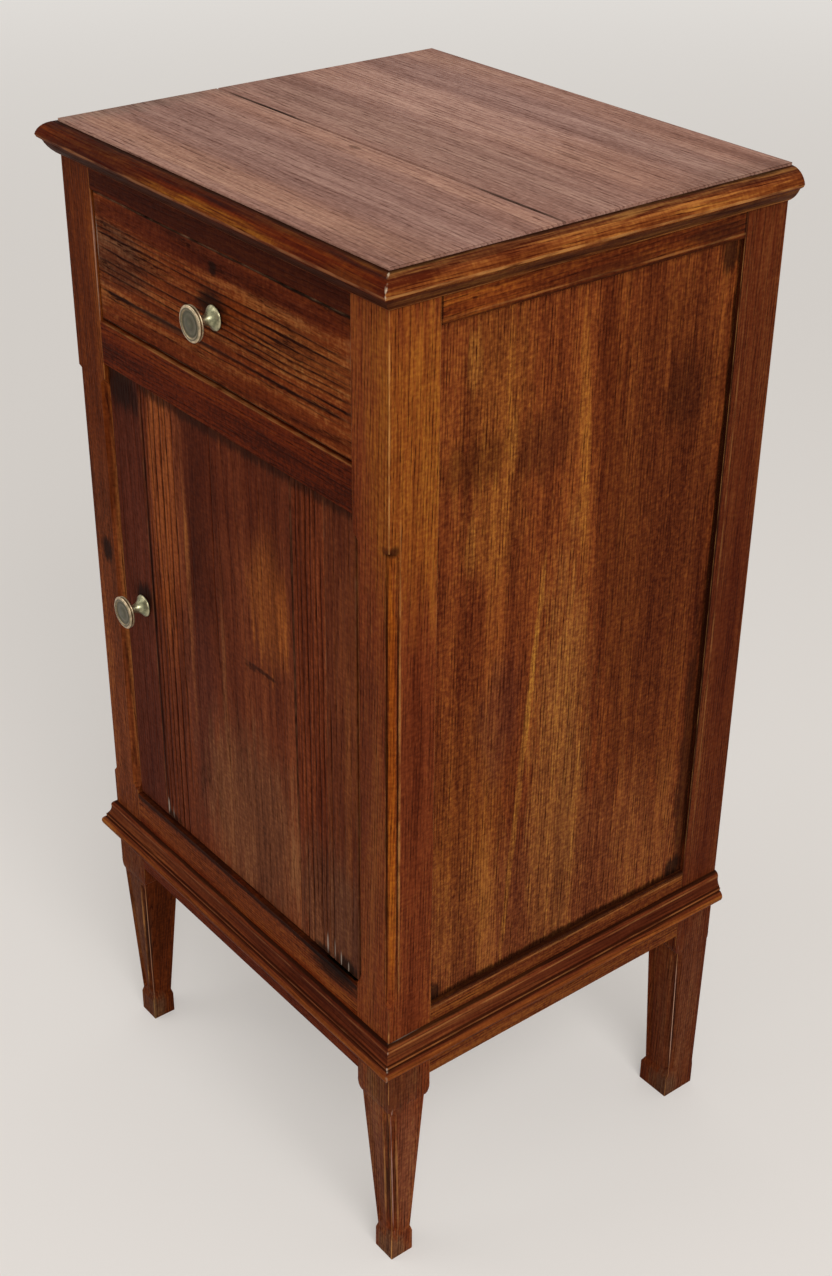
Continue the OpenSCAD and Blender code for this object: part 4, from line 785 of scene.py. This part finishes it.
# Screws, plates, pins and catch. Small fittings of plain brass, let in flush or screwed down, with
# a little tarnish in soft clouds. The door's pins and their plates have gone nearly black.
def plain_brass(name, dark, light):
    """Brass with tarnish in soft clouds between two colours."""
    made, tree = blank_material(name)
    place = add(tree, "TexCoord").outputs["Object"]
    cloud = add(tree, "TexNoise", {0: place, "Scale": 260, "Detail": 4}).outputs[0]
    colour = add(tree, "ValToRGB", {0: cloud}, stops=[(0.35, dark), (0.65, light)]).outputs[0]
    shine = add(tree, "Math", {0: cloud, 1: 0.2, 2: 0.25}, operation="MULTIPLY_ADD").outputs[0]
    shader = add(tree, "BsdfPrincipled", {"Base Color": colour, "Roughness": shine,
                                          "Metallic": 1.0})
    add(tree, "OutputMaterial", {0: shader.outputs[0]})
    return made


finish_with(plain_brass("plain_brass_fittings", "#8c7a4c", "#c4ab6a"), "frame_screws",
            "catch_strike", "drawer_knob_screw", "door_knob_screw", "door_batten_screws",
            "door_catch")
finish_with(plain_brass("blackened_brass_pivots", "#1c150e", "#3c3020"), "top_pivot_plate",
            "bottom_pivot_plate", "door_pivots")


# Floor and light. A pale studio floor, two large soft lamps and a pale surround. Part of what the
# camera sees of the floor is the surround's own colour, and far from the cabinet all of it, so that
# the floor stays pale away from the lamps and meets the surround without a line.
def seen_rays(tree):
    """1 for rays from the camera and from polished or clear things, and 0 for the light."""
    ray = add(tree, "LightPath").outputs
    seen = add(tree, "Math", {0: ray["Is Camera Ray"], 1: ray["Is Glossy Ray"]},
               operation="MAXIMUM").outputs[0]
    return add(tree, "Math", {0: seen, 1: ray["Is Transmission Ray"]},
               operation="MAXIMUM").outputs[0]


backdrop = "#efece8"
near_distance, far_distance = 1.2, 7.0
near_share, far_share = 0.33, 1.0
half_width = 15
floor_paint, tree = blank_material("pale_studio_floor")
matt = add(tree, "BsdfPrincipled", {"Base Color": tone("#e4dfda"), "Roughness": 0.9})
pale = add(tree, "Emission", {0: tone(backdrop), 1: 1.0})
place = add(tree, "TexCoord").outputs["Object"]
away = add(tree, "VectorMath", {0: place}, operation="LENGTH").outputs["Value"]
away = add(tree, "MapRange", {"Value": away, "From Min": near_distance, "From Max": far_distance,
                              "To Min": near_share, "To Max": far_share},
           interpolation_type="SMOOTHSTEP").outputs[0]
share = add(tree, "Math", {0: seen_rays(tree), 1: away}, operation="MULTIPLY").outputs[0]
both = add(tree, "MixShader", {0: share, 1: matt.outputs[0], 2: pale.outputs[0]})
add(tree, "OutputMaterial", {0: both.outputs[0]})
shape = bmesh.new()
bmesh.ops.create_grid(shape, x_segments=1, y_segments=1, size=half_width)
floor = piece_of("floor", shape, floor_paint)


def lamp(name, place, size, watts):
    """A square soft lamp, turned towards the middle of the cabinet."""
    light = bpy.data.lights.new(name, "AREA")
    light.size, light.energy = size, watts
    holder = bpy.data.objects.new(name, light)
    holder.location = place
    aim = Vector((0, 0, 0.4)) - Vector(place)
    holder.rotation_euler = aim.to_track_quat("-Z", "Y").to_euler()
    bpy.context.collection.objects.link(holder)


lamp("key_lamp", (2.3, -0.9, 2.4), 1.8, 66)
lamp("fill_lamp", (-1.6, -2.4, 1.8), 2.0, 16)

world = bpy.data.worlds.new("studio")
bpy.context.scene.world = world
world.use_nodes = True
sky = world.node_tree
sky.nodes.clear()
soft = add(sky, "Background", {0: tone("#fffaf4"), 1: 0.5})
pale = add(sky, "Background", {0: tone(backdrop), 1: 1.0})
both = add(sky, "MixShader", {0: seen_rays(sky), 1: soft.outputs[0], 2: pale.outputs[0]})
add(sky, "OutputWorld", {0: both.outputs[0]})
bpy.context.scene.view_settings.view_transform = "Standard"
